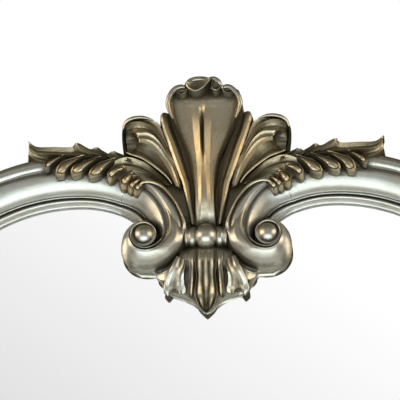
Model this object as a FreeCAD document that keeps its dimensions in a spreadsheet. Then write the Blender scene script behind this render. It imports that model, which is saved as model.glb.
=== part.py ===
import FreeCAD, Part
import math
import os
import re
import Sketcher
from FreeCAD import Placement, Rotation, Vector

# A standing floor mirror: a gilt moulded frame with a carved shell crest, silvered glass and a folding prop.
# Every piece is drawn in panel axes, with X to the right, Y backwards from the front of the felt and Z up
# the frame, and then leans back with the frame. Lengths are in millimetres and angles in degrees.

document = FreeCAD.newDocument("floor_mirror")
sheet = document.addObject("Spreadsheet::Sheet", "Sizes")

SIZES = {
    # the frame as a whole
    "frame_width": 900, "boss_height": 1580, "lean_angle": 8, "frame_bottom": 12,
    # moulded rails
    "moulding_width": 68, "moulding_rise": 36, "rail_back": 13, "lip_width": 10,
    "hump_rise": 51, "hump_radius": 130, "hump_angle": 32, "rail_run_out": 38,
    # glass, felt and backing
    "felt_thickness": 1, "glass_thickness": 5, "glass_gap": 1.5, "backing_thickness": 6.4,
    "backing_gap": 0.3,
    # carving, drawn on a squared grid that the humps of the arch are set out from too
    "carving_grid": 10, "hump_share": 16.7, "board_front": 14, "spray_foot": 12,
    "eye_radius": 10.5, "eye_rise": 27, "boss_radius": 15.6, "boss_rise": 24, "neck_share": 0.84,
    "collar_width": 8, "collar_height": 25, "collar_drop": 9, "collar_rise": 33, "collar_gap": 0.6,
    # battens across the back
    "batten_height": 70, "batten_thickness": 18, "batten_inset": 22, "pivot_drop": 266,
    "lower_batten_height": 330,
    # folding prop
    "prop_open_angle": 16, "prop_spacing": 300, "leg_width": 45, "leg_thickness": 22, "stop_gap": 0.3,
    "rung_height": 45, "rung_thickness": 18, "top_rung_drop": 150, "foot_rung_rise": 130,
    "tip_height": 30, "tip_wall": 3,
    "bracket_thickness": 3, "bracket_height": 80, "leg_clearance": 3, "cheek_gap": 1.2,
    "bracket_flange": 20, "bolt_radius": 4, "bolt_clearance": 0.1, "bolt_head_height": 5,
    "bolt_head_radius": 7, "nut_height": 6,
    # feet and wall bumpers
    "foot_width": 70, "foot_inset": 130, "foot_depth": 41, "bumper_radius": 11,
    "bumper_height": 8, "bumper_drop": 60,
    # screws, plates and glazing clips
    "screw_radius": 2, "screw_clearance": 0.1, "head_radius": 4, "head_height": 2.5,
    "screw_length": 14, "plate_thickness": 2, "plate_width": 20, "plate_length": 74,
    "clip_thickness": 1.5, "clip_length": 34, "clip_width": 12, "clip_to_batten": 140,
    # dowels in the shoulder joints
    "dowel_radius": 5, "dowel_length": 60, "dowel_spacing": 24, "dowel_clearance": 0.1,
    # how far every cut runs past what it cuts
    "overrun": 5,
}

# Values that the sheet works out from the sizes above
DERIVED = {
    "half_frame": "frame_width / 2",
    "half_sight": "half_frame - moulding_width",
    "hump_offset": "carving_grid * hump_share",
    "shoulder_radius": "half_sight - hump_offset",
    "hump_height": "boss_height + hump_rise",
    "springing": "hump_height - shoulder_radius",
    "pivot_height": "springing - pivot_drop",
    "sight_bottom": "frame_bottom + moulding_width",
    "glass_outset": "lip_width - glass_gap",
    "batten_back": "rail_back + batten_thickness",
    "web_to_pivot": "leg_clearance + leg_thickness / 2",
    "pivot_depth": "batten_back + bracket_thickness + web_to_pivot",
    "leg_slope": "prop_open_angle - lean_angle",
    "leg_reach": "(pivot_height * cos(lean_angle) - pivot_depth * sin(lean_angle)) / cos(leg_slope)",
    "leg_over_pivot": "(web_to_pivot - stop_gap - leg_thickness / 2 * cos(prop_open_angle))"
                      " / sin(prop_open_angle)",
    "tip_half_depth": "leg_thickness / 2 + tip_wall",
    "leg_foot": "leg_reach - tip_wall - tip_half_depth * tan(leg_slope)",
    "front_reach": "frame_bottom * sin(lean_angle) - moulding_rise * cos(lean_angle)",
    "rear_reach": "pivot_depth * cos(lean_angle) + pivot_height * sin(lean_angle)"
                  " + leg_reach * sin(leg_slope) + tip_half_depth",
    "setback": "-(front_reach + rear_reach) / 2",
}
for row, (alias, amount) in enumerate([*SIZES.items(), *DERIVED.items()], start=1):
    sheet.set(f"A{row}", alias)
    sheet.set(f"B{row}", f"={amount}" if alias in DERIVED else str(amount))
    sheet.setAlias(f"B{row}", alias)
document.recompute()


def size(alias):
    return float(sheet.get(alias))


def bound(expression):
    """An expression written with the aliases alone, as another object of the document reads it."""
    known = {*SIZES, *DERIVED}
    return re.sub(r"[a-z_]+", lambda word: f"Sizes.{word[0]}" if word[0] in known else word[0], expression)


boss_height = size("boss_height")
grid = size("carving_grid")
board_front = size("board_front")
rail_back = size("rail_back")
overrun = size("overrun")

ACROSS = Vector(1, 0, 0)
BACK = Vector(0, 1, 0)
UP = Vector(0, 0, 1)
LEFT, RIGHT = -1, 1
SIDES = (("left", LEFT), ("right", RIGHT))

panel = Placement(Vector(0, size("setback"), 0), Rotation(ACROSS, -size("lean_angle")))
hinge = Placement(Vector(0, size("pivot_depth"), size("pivot_height")),
                  Rotation(ACROSS, size("prop_open_angle")))
prop = panel * hinge

subparts = []


def keep(item, label, placement=panel):
    """Names a finished piece, leans it into its place and lists it for export."""
    item.Label = label
    item.Placement = placement
    subparts.append(item)
    return item


def shaped(label, shape, placement=panel):
    """A piece whose shape is set directly, as for carving and for groups of fasteners."""
    item = document.addObject("Part::Feature", label)
    item.Shape = shape
    return keep(item, label, placement)


def new_body(label):
    return document.addObject("PartDesign::Body", label)


def new_sketch(body, name, role, offset=Placement()):
    """A sketch on one of the body's own origin planes, moved by an offset in that plane's axes."""
    sketch = body.newObject("Sketcher::SketchObject", name)
    plane = next(item for item in body.Origin.OriginFeatures if item.Role == role)
    sketch.AttachmentSupport = (plane, [""])
    sketch.MapMode = "FlatFace"
    sketch.AttachmentOffset = offset
    return sketch


def bound_rectangle(body, name, role, low_x, high_x, low_y, high_y):
    """A rectangle whose four sides are bound to expressions on the sheet."""
    sketch = new_sketch(body, name, role)
    left, right, bottom, top = [float(sheet.evalExpression(side)) for side in (low_x, high_x, low_y, high_y)]
    corners = [Vector(left, bottom, 0), Vector(right, bottom, 0), Vector(right, top, 0), Vector(left, top, 0)]
    for start, end in zip(corners, corners[1:] + corners[:1]):
        sketch.addGeometry(Part.LineSegment(start, end), False)
    for edge, direction in enumerate(("Horizontal", "Vertical", "Horizontal", "Vertical")):
        sketch.addConstraint(Sketcher.Constraint("Coincident", edge, 2, (edge + 1) % 4, 1))
        sketch.addConstraint(Sketcher.Constraint(direction, edge))
    for kind, edge, value, expression in (("DistanceX", 0, left, low_x), ("DistanceX", 2, right, high_x),
                                          ("DistanceY", 0, bottom, low_y), ("DistanceY", 2, top, high_y)):
        index = sketch.addConstraint(Sketcher.Constraint(kind, -1, 1, edge, 1, value))
        sketch.setExpression(f"Constraints[{index}]", bound(expression))
    return sketch


def outline_edges(steps):
    """A closed outline. A step is a point to draw a line to, or an arc's middle point and end point."""
    edges = []
    here = steps[0]
    for step in [*steps[1:], steps[0]]:
        if isinstance(step[0], tuple):
            middle, there = step
            edges.append(Part.Arc(Vector(*here, 0), Vector(*middle, 0), Vector(*there, 0)))
        else:
            there = step
            edges.append(Part.LineSegment(Vector(*here, 0), Vector(*there, 0)))
        here = there
    return edges


def outline_sketch(body, name, role, steps, offset=Placement()):
    sketch = new_sketch(body, name, role, offset)
    for edge in outline_edges(steps):
        sketch.addGeometry(edge, False)
    return sketch


def circle_sketch(body, name, role, centres, radius, offset=Placement()):
    """Circles of one radius, which is bound to the sheet."""
    sketch = new_sketch(body, name, role, offset)
    amount = float(sheet.evalExpression(radius))
    for x, y in centres:
        index = sketch.addGeometry(Part.Circle(Vector(x, y, 0), UP, amount), False)
        constraint = sketch.addConstraint(Sketcher.Constraint("Radius", index, amount))
        sketch.setExpression(f"Constraints[{constraint}]", bound(radius))
    return sketch


def pad(body, sketch, length, name="Pad", reverse=False, both_ways=False):
    feature = body.newObject("PartDesign::Pad", name)
    feature.Profile = sketch
    feature.Reversed = reverse
    feature.SideType = "Symmetric" if both_ways else "One side"
    feature.setExpression("Length", bound(length))
    return feature


def revolve(body, sketch, axis, angle, name="Revolution", reverse=False):
    feature = body.newObject("PartDesign::Revolution", name)
    feature.Profile = sketch
    feature.ReferenceAxis = (sketch, [axis])
    feature.Reversed = reverse
    feature.setExpression("Angle", bound(angle))
    return feature


def pocket(body, sketch, name="Pocket", depth=None, reverse=False):
    """A cut right through, both ways from its sketch, or to one depth."""
    feature = body.newObject("PartDesign::Pocket", name)
    feature.Profile = sketch
    feature.Reversed = reverse
    if depth is None:
        feature.Type = "ThroughAll"
        feature.SideType = "Symmetric"
    else:
        feature.SideType = "One side"
        feature.setExpression("Length", bound(depth))
    return feature


def drill_from_back(body, centres, radius, depth, face, name):
    """Round holes into a face that looks backwards, at a named depth behind the panel."""
    offset = Placement(Vector(0, 0, -size(face)), Rotation())
    sketch = circle_sketch(body, f"{name}Places", "XZ_Plane", centres, radius, offset)
    return pocket(body, sketch, name, depth, reverse=True)


def prism(points, low_y, high_y):
    """A straight-sided outline in the plane of the panel, made solid between two depths."""
    corners = [Vector(x, low_y, z) for x, z in points]
    face = Part.Face(Part.makePolygon([*corners, corners[0]]))
    return face.extrude(Vector(0, high_y - low_y, 0))


def largest(shape):
    return max(shape.Solids, key=lambda solid: solid.Volume)


def mirrored(shape):
    return shape.mirror(Vector(0, 0, 0), ACROSS)


def pair(label, left_shape):
    """A piece of the left half and its mirror image on the right."""
    return [shaped(f"{label}_left", left_shape), shaped(f"{label}_right", mirrored(left_shape))]


def on_grid(point):
    """A point of the carver's grid, whose centre is the boss, in the plane of the panel."""
    across_share, up_share = point
    return across_share * grid, boss_height + up_share * grid


def at_angle(centre, radius, degrees):
    turn = math.radians(degrees)
    return centre[0] + radius * math.cos(turn), centre[1] + radius * math.sin(turn)


# The section of the moulding, as shares of its width outwards from the sight edge and of its rise forwards.
# A bead, a cove and a fillet run round the glass, then a broad ovolo, a sunk fillet and the outer torus.
moulding_shares = [
    (0, 0.75), ((0.045, 0.82), (0.09, 0.75)), ((0.14, 0.66), (0.19, 0.73)), (0.215, 0.73),
    ((0.40, 0.89), (0.63, 0.93)), (0.69, 0.93), (0.69, 0.85), (0.75, 0.85), (0.75, 0.92), (0.785, 0.92),
    ((0.89, 1), (1, 0.78)),
]


def moulding_section(start, direction=1, swapped=False, back=rail_back):
    """The moulding's section with its sight edge at a given place, and its rebate behind the lip."""
    def place(point):
        out = start + direction * point[0]
        return (point[1], out) if swapped else (out, point[1])

    def scaled(shares):
        return place((shares[0] * size("moulding_width"), -shares[1] * size("moulding_rise")))

    steps = []
    for step in moulding_shares:
        steps.append((scaled(step[0]), scaled(step[1])) if isinstance(step[0], tuple) else scaled(step))
    steps.append(place((size("moulding_width"), back)))
    if back > 0:
        steps += [place((size("lip_width"), back)), place((size("lip_width"), 0))]
    return [*steps, place((0, 0))]


# Where the screws of the clips, battens and plates go into the back of the rails
half_stile_x = size("half_sight") + size("moulding_width") / 2
batten_screw_rise = size("batten_height") / 4
clip_screw_out = size("lip_width") + size("clip_length") / 3
batten_heights = (size("lower_batten_height"), size("pivot_height"))
clip_heights = [height + step * size("clip_to_batten") for height in batten_heights for step in (-1, 1)]
clip_heights.append(sum(batten_heights) / 2)
clip_spots = [(side * size("half_sight"), height, side) for height in clip_heights for side in (LEFT, RIGHT)]
batten_screws = [(side * half_stile_x, height + rise) for height in batten_heights
                 for side in (LEFT, RIGHT) for rise in (-batten_screw_rise, batten_screw_rise)]
plate_steps = [step * size("plate_length") for step in (-0.4, -0.2, 0.2, 0.4)]
shoulder_plate_screws = [(side * half_stile_x, size("springing") + step) for side in (LEFT, RIGHT)
                         for step in plate_steps]
mitre_height = size("frame_bottom") + size("moulding_width") / 2
corner_plate_screws = [(side * (half_stile_x - step * math.sqrt(0.5)), mitre_height - step * math.sqrt(0.5))
                       for side in (LEFT, RIGHT) for step in plate_steps]
clip_screws = [(x + side * clip_screw_out, height) for x, height, side in clip_spots]
rail_screws = clip_screws + batten_screws + shoulder_plate_screws + corner_plate_screws
dowel_places = [(side * (half_stile_x + step * size("dowel_spacing") / 2), 0)
                for side in (LEFT, RIGHT) for step in (-1, 1)]


def rail_screw_holes(body, belongs):
    centres = [place for place in rail_screws if belongs(*place)]
    drill_from_back(body, centres, "screw_radius + screw_clearance", "screw_length", "rail_back",
                    "ScrewHoles")


def dowel_holes(body, side):
    """Holes up and down from the shoulder joint, half a dowel deep each way."""
    offset = Placement(Vector(0, 0, size("springing")), Rotation())
    centres = [place for place in dowel_places if place[0] * side > 0]
    sketch = circle_sketch(body, "DowelPlaces", "XY_Plane", centres, "dowel_radius + dowel_clearance", offset)
    feature = pocket(body, sketch, "DowelHoles", "dowel_length")
    feature.SideType = "Symmetric"


def mitre(body, side):
    """The corner mitre of a stile, cut from the outer corner to the sight edge."""
    low, high = size("frame_bottom") - overrun, size("sight_bottom") + overrun
    outer, inner = size("half_frame") + overrun, size("half_sight") - overrun
    steps = [(side * outer, low), (side * inner, high), (side * inner, low)]
    pocket(body, outline_sketch(body, "MitreLine", "XZ_Plane", steps), "Mitre")


def stile(label, side):
    body = new_body(label)
    start = Placement(Vector(0, 0, size("frame_bottom")), Rotation())
    section = outline_sketch(body, "Section", "XY_Plane",
                             moulding_section(side * size("half_sight"), side), start)
    pad(body, section, "springing - frame_bottom")
    mitre(body, side)
    rail_screw_holes(body, lambda x, z: x * side > 0 and size("springing") > z
                     and z - size("frame_bottom") > size("half_frame") - abs(x))
    dowel_holes(body, side)
    return keep(body, label)


def bottom_rail(label):
    body = new_body(label)
    section = outline_sketch(body, "Section", "YZ_Plane",
                             moulding_section(size("sight_bottom"), -1, swapped=True))
    pad(body, section, "frame_width", both_ways=True)
    low, high = size("frame_bottom"), size("sight_bottom")
    far = size("half_frame") + overrun
    for name, side in SIDES:
        outer, inner = side * size("half_frame"), side * size("half_sight")
        past = side * overrun
        steps = [(outer + past, low - overrun), (inner - past, high + overrun), (side * far, high + overrun)]
        pocket(body, outline_sketch(body, f"MitreLine{name}", "XZ_Plane", steps), f"Mitre{name}")
    rail_screw_holes(body, lambda x, z: z - size("frame_bottom") < size("half_frame") - abs(x)
                     and z < size("sight_bottom"))
    return keep(body, label)


# Outlines of the carving, on the carver's grid. The lines that two pieces share are written once.
fan_edge_shares = [(-1.35, 1.85), (-1.3, 6.6), (-1.9, 10.8), (-2.75, 13.2), (-3.75, 15.5), (-4.45, 17.4),
                   (-4.85, 18.4)]
flute_edge_shares = [(-2.0, 1.85), (-2.9, 7.0), (-4.1, 10.5), (-5.0, 13.1), (-5.75, 15.1), (-6.0, 16.9)]
leaf_parting_shares = [(-2.4, 3.9), (-3.2, 6.0), (-4.97, 8.5), (-7.0, 10.4), (-9.4, 11.4)]
scroll_outer_shares = [(-8.1, 7.66), (-6.8, 7.6), (-5.41, 6.84), (-3.95, 5.12), (-3.08, 3.29), (-2.61, 1.7),
                       (-2.75, 0.1), (-3.57, -1.61), (-5.0, -3.2), (-6.78, -4.25), (-8.66, -4.18),
                       (-10.22, -3.21), (-11.05, -1.56), (-11.09, -0.05), (-10.84, 1.31), (-9.81, 2.25),
                       (-8.3, 2.54), (-7.0, 2.25)]
scroll_inner_shares = [(-7.9, 7.0), (-6.9, 6.35), (-6.0, 5.2), (-5.45, 4.0), (-5.14, 2.6), (-5.1, 1.46),
                       (-5.3, 0.6), (-5.8, -0.35), (-6.6, -1.05), (-7.6, -1.4), (-8.6, -1.15),
                       (-9.35, -0.55), (-9.7, 0.1), (-9.8, 0.75), (-9.55, 1.4), (-9.0, 1.9), (-8.2, 2.15),
                       (-7.1, 1.9)]
leaf_outer_shares = [(-9.5, 7.3), (-11.2, 7.7), (-11.9, 9.6), (-10.6, 11.6)]
cope_shares = [(1, -2), (-12, -2), *scroll_outer_shares[14:18], (-5.3, 0.6), *scroll_inner_shares[5::-1],
               scroll_outer_shares[0], *leaf_outer_shares, (-10.4, 13), (1, 13)]
eye_shares = (-8.1, 0.77)


def top_rail(label, side):
    """Half of the arched top: the shoulder, the inner side of the hump and the run in under the scroll."""
    body = new_body(label)
    hump = side * size("hump_offset")
    shoulder = outline_sketch(body, "ShoulderSection", "XY_Plane",
                              moulding_section(side * size("shoulder_radius"), side),
                              Placement(Vector(hump, 0, size("springing")), Rotation()))
    revolve(body, shoulder, "V_Axis", "90", "Shoulder", reverse=side == RIGHT)
    centre = size("hump_height") - size("hump_radius")
    inner = outline_sketch(body, "HumpSection", "YZ_Plane",
                           moulding_section(size("hump_radius"), swapped=True),
                           Placement(Vector(0, centre, hump), Rotation()))
    revolve(body, inner, "H_Axis", "hump_angle", "Hump", reverse=side == RIGHT)
    run = outline_sketch(body, "RunSection", "YZ_Plane",
                         moulding_section(size("hump_radius"), swapped=True, back=0),
                         Placement(Vector(0, centre, hump), Rotation(ACROSS, -side * size("hump_angle"))))
    pad(body, run, "rail_run_out", "Run", reverse=side == RIGHT)
    cope = [(-side * x, z) for x, z in map(on_grid, cope_shares)]
    pocket(body, outline_sketch(body, "CopeLine", "XZ_Plane", cope), "Cope")
    rail_screw_holes(body, lambda x, z: x * side > 0 and z > size("springing"))
    dowel_holes(body, side)
    return keep(body, label)


def arched_outline(outset):
    """The double-humped outline of the sight opening, set out by a distance, straight across at the crest."""
    wide, low = size("half_sight") + outset, size("sight_bottom") - outset
    springing, hump = size("springing"), size("hump_offset")
    centre = size("hump_height") - size("hump_radius")
    steps = [(-wide, low), (wide, low), (wide, springing)]
    shoulder, inner = size("shoulder_radius") + outset, size("hump_radius") + outset
    half_turn = size("hump_angle") / 2
    steps.append((at_angle((hump, springing), shoulder, 45), at_angle((hump, springing), shoulder, 90)))
    steps.append((at_angle((hump, centre), inner, 90 + half_turn),
                  at_angle((hump, centre), inner, 90 + 2 * half_turn)))
    steps.append(at_angle((-hump, centre), inner, 90 - 2 * half_turn))
    steps.append((at_angle((-hump, centre), inner, 90 - half_turn), at_angle((-hump, centre), inner, 90)))
    steps.append((at_angle((-hump, springing), shoulder, 135), (-wide, springing)))
    return steps


def pane(label, outset, front, thickness):
    """A flat sheet cut to the arched outline, from a depth behind the panel's zero."""
    body = new_body(label)
    offset = Placement(Vector(0, 0, -front), Rotation())
    sketch = outline_sketch(body, "Outline", "XZ_Plane", arched_outline(outset), offset)
    pad(body, sketch, thickness, reverse=True)
    return body


def glazing():
    outset = size("glass_outset")
    glass = pane("mirror_glass", outset, size("felt_thickness"), "glass_thickness")
    keep(glass, "mirror_glass")
    felt = pane("felt_strip", outset, 0, "felt_thickness")
    opening = outline_sketch(felt, "SightOpening", "XZ_Plane", arched_outline(size("glass_gap")))
    pocket(felt, opening, "Opening")
    keep(felt, "felt_strip")
    front = size("felt_thickness") + size("glass_thickness") + size("backing_gap")
    keep(pane("backing_board", outset, front, "backing_thickness"), "backing_board")


# How the top of a carved section rises from its edge towards its crown: each pair is an arc's middle and end,
# as shares of the way across and of the rise.
DOME_SHARES = [((0.5, 1), (1, 0))]
TWO_RIB_SHARES = [((0.25, 1), (0.5, 0.25)), ((0.75, 1), (1, 0))]
THREE_RIB_SHARES = [((0.17, 1), (0.33, 0.3)), ((0.5, 1), (0.67, 0.3)), ((0.83, 1), (1, 0))]
SHELL_SHARES = [((0.14, 0.8), (0.28, 0.85)), ((0.38, 0.55), (0.5, 1)), ((0.62, 0.55), (0.72, 0.85)),
                ((0.86, 0.8), (1, 0))]


def carved_section(start, end, foot, edge, crown, top_shares):
    """One section of a carved piece, from a point on one of its edges to a point on the other."""
    (start_x, start_z), (end_x, end_z) = on_grid(start), on_grid(end)

    def top(across, rise):
        forward = (edge + (crown - edge) * rise) * grid
        return Vector(start_x + (end_x - start_x) * across, -forward, start_z + (end_z - start_z) * across)

    corner, far_corner = Vector(start_x, -foot, start_z), Vector(end_x, -foot, end_z)
    edges = [Part.LineSegment(corner, top(0, 0)).toShape()]
    here = top(0, 0)
    for middle, there in top_shares:
        edges.append(Part.Arc(here, top(*middle), top(*there)).toShape())
        here = top(*there)
    edges.append(Part.LineSegment(here, far_corner).toShape())
    edges.append(Part.LineSegment(far_corner, corner).toShape())
    return Part.Wire(edges)


def carved(starts, ends, edge_shares, crown_shares, top_shares=DOME_SHARES, foot=board_front):
    """A carved piece lofted through sections between two edge lines, each with its own edge and crown."""
    wires = [carved_section(start, end, foot, edge, crown, top_shares)
             for start, end, edge, crown in zip(starts, ends, edge_shares, crown_shares)]
    solid = Part.makeLoft(wires, True, True)
    return solid if solid.Volume > 0 else solid.reversed()


def mirrored_points(points):
    return [(-x, z) for x, z in points]


def shell():
    """The fan of the crest: a hollow shell between two flutes, with a curled lip of four rolls on top."""
    edge_shares = [2.7, 2.9, 3.2, 3.6, 4.1, 4.5, 4.7]
    crown_shares = [3.2, 3.15, 3.1, 3.2, 3.4, 3.7, 3.9]
    shaped("shell_centre", carved(fan_edge_shares, mirrored_points(fan_edge_shares), edge_shares,
                                  crown_shares, SHELL_SHARES))
    edge_shares = [2.2, 2.4, 2.6, 2.9, 3.1, 3.2]
    crown_shares = [2.5, 2.8, 3.0, 3.4, 3.6, 3.6]
    pair("shell_flute", carved(flute_edge_shares, fan_edge_shares, edge_shares, crown_shares))
    low_shares = [(-4.7, 18.45), (-4.2, 18.4), (-3.2, 18.4), (-2.35, 18.4)]
    high_shares = [(-4.75, 19.2), (-4.3, 20.1), (-3.2, 20.5), (-2.35, 20.6)]
    edge_shares = [4.0, 4.1, 4.2, 4.2]
    crown_shares = [4.3, 4.9, 5.2, 5.2]
    pair("shell_roll_outer", carved(low_shares, high_shares, edge_shares, crown_shares))
    low_shares = [(-2.3, 18.4), (-1.5, 18.4), (-0.3, 18.4), (0.7, 18.4)]
    high_shares = [(-2.3, 20.9), (-1.5, 21.6), (-0.3, 22.0), (0.7, 21.7)]
    edge_shares = [4.2, 4.2, 4.2, 4.2]
    crown_shares = [5.4, 5.7, 5.8, 5.7]
    shaped("shell_roll_middle_left", carved(low_shares, high_shares, edge_shares, crown_shares))
    low_shares = [(0.75, 18.4), (1.5, 18.4), (2.3, 18.4)]
    high_shares = [(0.75, 21.6), (1.5, 21.4), (2.3, 20.8)]
    edge_shares = [4.2, 4.2, 4.2]
    crown_shares = [5.6, 5.6, 5.3]
    shaped("shell_roll_middle_right", carved(low_shares, high_shares, edge_shares, crown_shares))


def side_leaves():
    """The ribbed leaf beside each flute and the curled leaf under it, above the scroll."""
    upper_shares = [*flute_edge_shares[1:5], (-6.1, 16.0), (-7.5, 16.5), (-8.9, 16.1)]
    lower_shares = [*leaf_parting_shares[1:], (-10.35, 12.3), (-10.55, 14.6), (-10.2, 15.4)]
    edge_shares = [2.2, 2.5, 2.9, 3.3, 3.6, 3.9, 4.1]
    crown_shares = [2.32, 2.8, 3.35, 4.0, 4.4, 4.4, 4.3]
    pair("side_leaf", carved(upper_shares, lower_shares, edge_shares, crown_shares, THREE_RIB_SHARES))
    upper_shares = [*leaf_parting_shares, leaf_outer_shares[3], leaf_outer_shares[2]]
    lower_shares = [*scroll_outer_shares[4::-1], *leaf_outer_shares[:2]]
    edge_shares = [2.2, 2.5, 2.9, 3.2, 3.4, 3.5, 3.5]
    crown_shares = [2.4, 2.75, 3.3, 3.9, 4.2, 4.3, 4.0]
    pair("lower_leaf", carved(upper_shares, lower_shares, edge_shares, crown_shares, TWO_RIB_SHARES))


def scrolls():
    """The pair of C-scrolls, each a rounded band that narrows to a tail above and curls round its eye."""
    edge_shares = [3.2, 3.1, 3.0, 2.9, 2.8, 2.7, 2.7, 2.6, 2.5, 2.5, 2.5, 2.5, 2.5, 2.5, 2.5, 2.6, 2.7, 2.8]
    crown_shares = [3.4, 3.6, 3.7, 3.7, 3.7, 3.8, 3.8, 3.9, 4.0, 4.0, 4.0, 3.9, 3.5, 3.2, 3.0, 2.95,
                    2.85, 2.92]
    pair("scroll", carved(scroll_outer_shares, scroll_inner_shares, edge_shares, crown_shares))


def button(label, centre, radius, rise):
    """A turned button: a ball on a short neck, with its back flat on the crest board."""
    body = new_body(label)
    ball, middle = size(radius), size(rise)
    neck = ball * size("neck_share")
    shoulder = middle - math.sqrt(ball ** 2 - neck ** 2)
    steps = [(0, -board_front), (neck, -board_front), (neck, -shoulder),
             ((ball, -middle), (0, -middle - ball))]
    offset = Placement(Vector(centre[0], 0, centre[1]), Rotation())
    revolve(body, outline_sketch(body, "Profile", "XY_Plane", steps, offset), "V_Axis", "360")
    return keep(body, label)


def collar(label, side):
    """A small rounded block that fills the gap between the boss and a scroll."""
    body = new_body(label)
    inner = size("boss_radius") + size("collar_gap")
    outer = inner + size("collar_width")
    rise = size("collar_rise")
    shoulder = rise - size("collar_width") / 4
    steps = [(side * inner, -board_front), (side * inner, -shoulder),
             ((side * (inner + outer) / 2, -rise), (side * outer, -shoulder)), (side * outer, -board_front)]
    low = boss_height - size("collar_drop")
    section = outline_sketch(body, "Section", "XY_Plane", steps, Placement(Vector(0, 0, low), Rotation()))
    pad(body, section, "collar_height")
    return keep(body, label)


def pendant():
    """The drop of leaves under the boss: a pointed centre leaf, and three leaves on each side of it."""
    centre_shares = [(-1.2, -1.9), (-1.25, -2.4), (-1.05, -4.3), (-1.26, -6.1), (-1.36, -7.2),
                     (-0.98, -8.6), (-0.47, -9.5), (-0.08, -10.0)]
    edge_shares = [2.2, 2.4, 2.5, 2.5, 2.5, 2.4, 2.3, 2.2]
    crown_shares = [3.0, 3.0, 3.2, 3.2, 3.1, 3.0, 2.7, 2.25]
    shaped("pendant_centre", carved(mirrored_points(centre_shares), centre_shares, edge_shares, crown_shares))
    near_shares = [*centre_shares[1:5], (-1.7, -7.6)]
    far_shares = [(-2.0, -2.4), (-2.2, -4.3), (-2.43, -6.1), (-2.3, -7.3), (-2.1, -7.8)]
    edge_shares = [2.2, 2.3, 2.3, 2.2, 2.1]
    crown_shares = [2.5, 2.75, 2.8, 2.6, 2.3]
    pair("pendant_inner", carved(near_shares, far_shares, edge_shares, crown_shares))
    near_shares = [(-2.1, -2.4), (-2.3, -4.3), (-2.55, -6.1), (-2.6, -6.9), (-3.3, -7.35)]
    far_shares = [(-2.9, -2.0), (-3.9, -3.4), (-4.7, -4.9), (-5.3, -6.4), (-5.1, -7.4)]
    edge_shares = [2.1, 2.2, 2.3, 2.3, 2.2]
    crown_shares = [2.3, 2.6, 2.9, 3.0, 2.7]
    pair("pendant_outer", carved(near_shares, far_shares, edge_shares, crown_shares, TWO_RIB_SHARES))
    near_shares = [(-3.35, -2.5), (-4.1, -3.6), (-5.0, -5.2), (-5.6, -5.6)]
    far_shares = [(-3.9, -2.3), (-5.0, -3.5), (-5.9, -4.1), (-6.5, -4.6)]
    edge_shares = [2.0, 2.1, 2.2, 2.2]
    crown_shares = [2.25, 2.5, 2.8, 2.7]
    pair("pendant_curl", carved(near_shares, far_shares, edge_shares, crown_shares))


board_shares = [
    (0, -9.95), (-0.47, -9.45), (-1.0, -8.8), (-1.5, -7.9), (-2.1, -7.7), (-3.3, -7.3), (-4.2, -7.1),
    (-5.1, -7.3), (-5.4, -6.6), (-5.6, -5.6), (-6.4, -4.8), (-6.78, -4.2), (-8.66, -4.1), (-10.2, -3.15),
    (-11.0, -1.5), (-11.05, 0), (-10.8, 1.3), (-10.6, 6.0), (-11.2, 7.7), (-11.9, 9.6), (-10.6, 11.6),
    (-10.4, 12.3), (-10.55, 14.6), (-10.2, 15.4), (-8.9, 16.1), (-7.5, 16.5), (-6.1, 16.0), (-6.0, 16.9),
    (-4.8, 17.6), (-4.85, 18.4), (-4.7, 19.2), (-4.3, 20.1), (-3.2, 20.5), (-2.3, 20.9), (-1.5, 21.5),
    (0, 21.9),
]


def crest_board(rails):
    """The sawn board that carries the carving. Above the glass it fills the depth of the rails."""
    left = [on_grid(point) for point in board_shares]
    outline = left + [(-x, z) for x, z in left[-2:0:-1]]
    front = prism(outline, -board_front, 0)
    rear = prism(outline, 0, rail_back)
    chord = max(z for step in arched_outline(size("lip_width"))[5:6] for z in step[1:])
    wide = size("half_frame")
    below_chord = [(-wide, 0), (wide, 0), (wide, chord), (-wide, chord)]
    behind_glass = prism(below_chord, -overrun, rail_back + overrun)
    board = largest(front.fuse(rear.cut(behind_glass)).removeSplitter())
    for rail in rails:
        board = largest(board.cut(rail.Tip.Shape))
    return shaped("crest_board", board)


def leaf_sprays(rails):
    """The acanthus sprays that lie along the outer moulding, hollowed behind to fit over it."""
    upper_shares = [(-12.2, 12.0), (-13.6, 12.2), (-14.6, 12.7), (-15.6, 12.6), (-16.6, 13.2), (-17.4, 13.2),
                    (-18.2, 12.7), (-19.3, 12.5), (-20.9, 12.4), (-22.1, 12.5), (-22.9, 13.0)]
    lower_shares = [(-12.2, 8.6), (-13.6, 9.4), (-14.7, 8.5), (-15.9, 9.5), (-16.9, 8.8), (-18.0, 9.4),
                    (-18.9, 8.9), (-19.7, 9.9), (-20.7, 10.0), (-21.9, 11.2), (-22.75, 12.3)]
    edge_shares = [3.7, 3.7, 3.7, 3.7, 3.7, 3.7, 3.7, 3.7, 3.7, 3.8, 4.0]
    crown_shares = [4.1, 4.3, 4.5, 4.5, 4.6, 4.6, 4.6, 4.3, 4.3, 4.1, 4.15]
    foot = size("spray_foot")
    spray = carved(upper_shares, lower_shares, edge_shares, crown_shares, TWO_RIB_SHARES, foot)
    pair("leaf_spray", largest(spray.cut(rails[0].Tip.Shape)))


def screw(x, z, face, seat):
    """A pan-head screw with its head on one face, driven forwards into the wood behind another."""
    head = Part.makeCylinder(size("head_radius"), size("head_height"), Vector(x, face, z), BACK)
    point = seat - size("screw_length") + size("stop_gap")
    shank = Part.makeCylinder(size("screw_radius"), face - point, Vector(x, point, z), BACK)
    return head.fuse(shank)


def screw_group(label, places, face, seat):
    shaped(label, Part.makeCompound([screw(x, z, face, seat) for x, z in places]))


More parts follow.
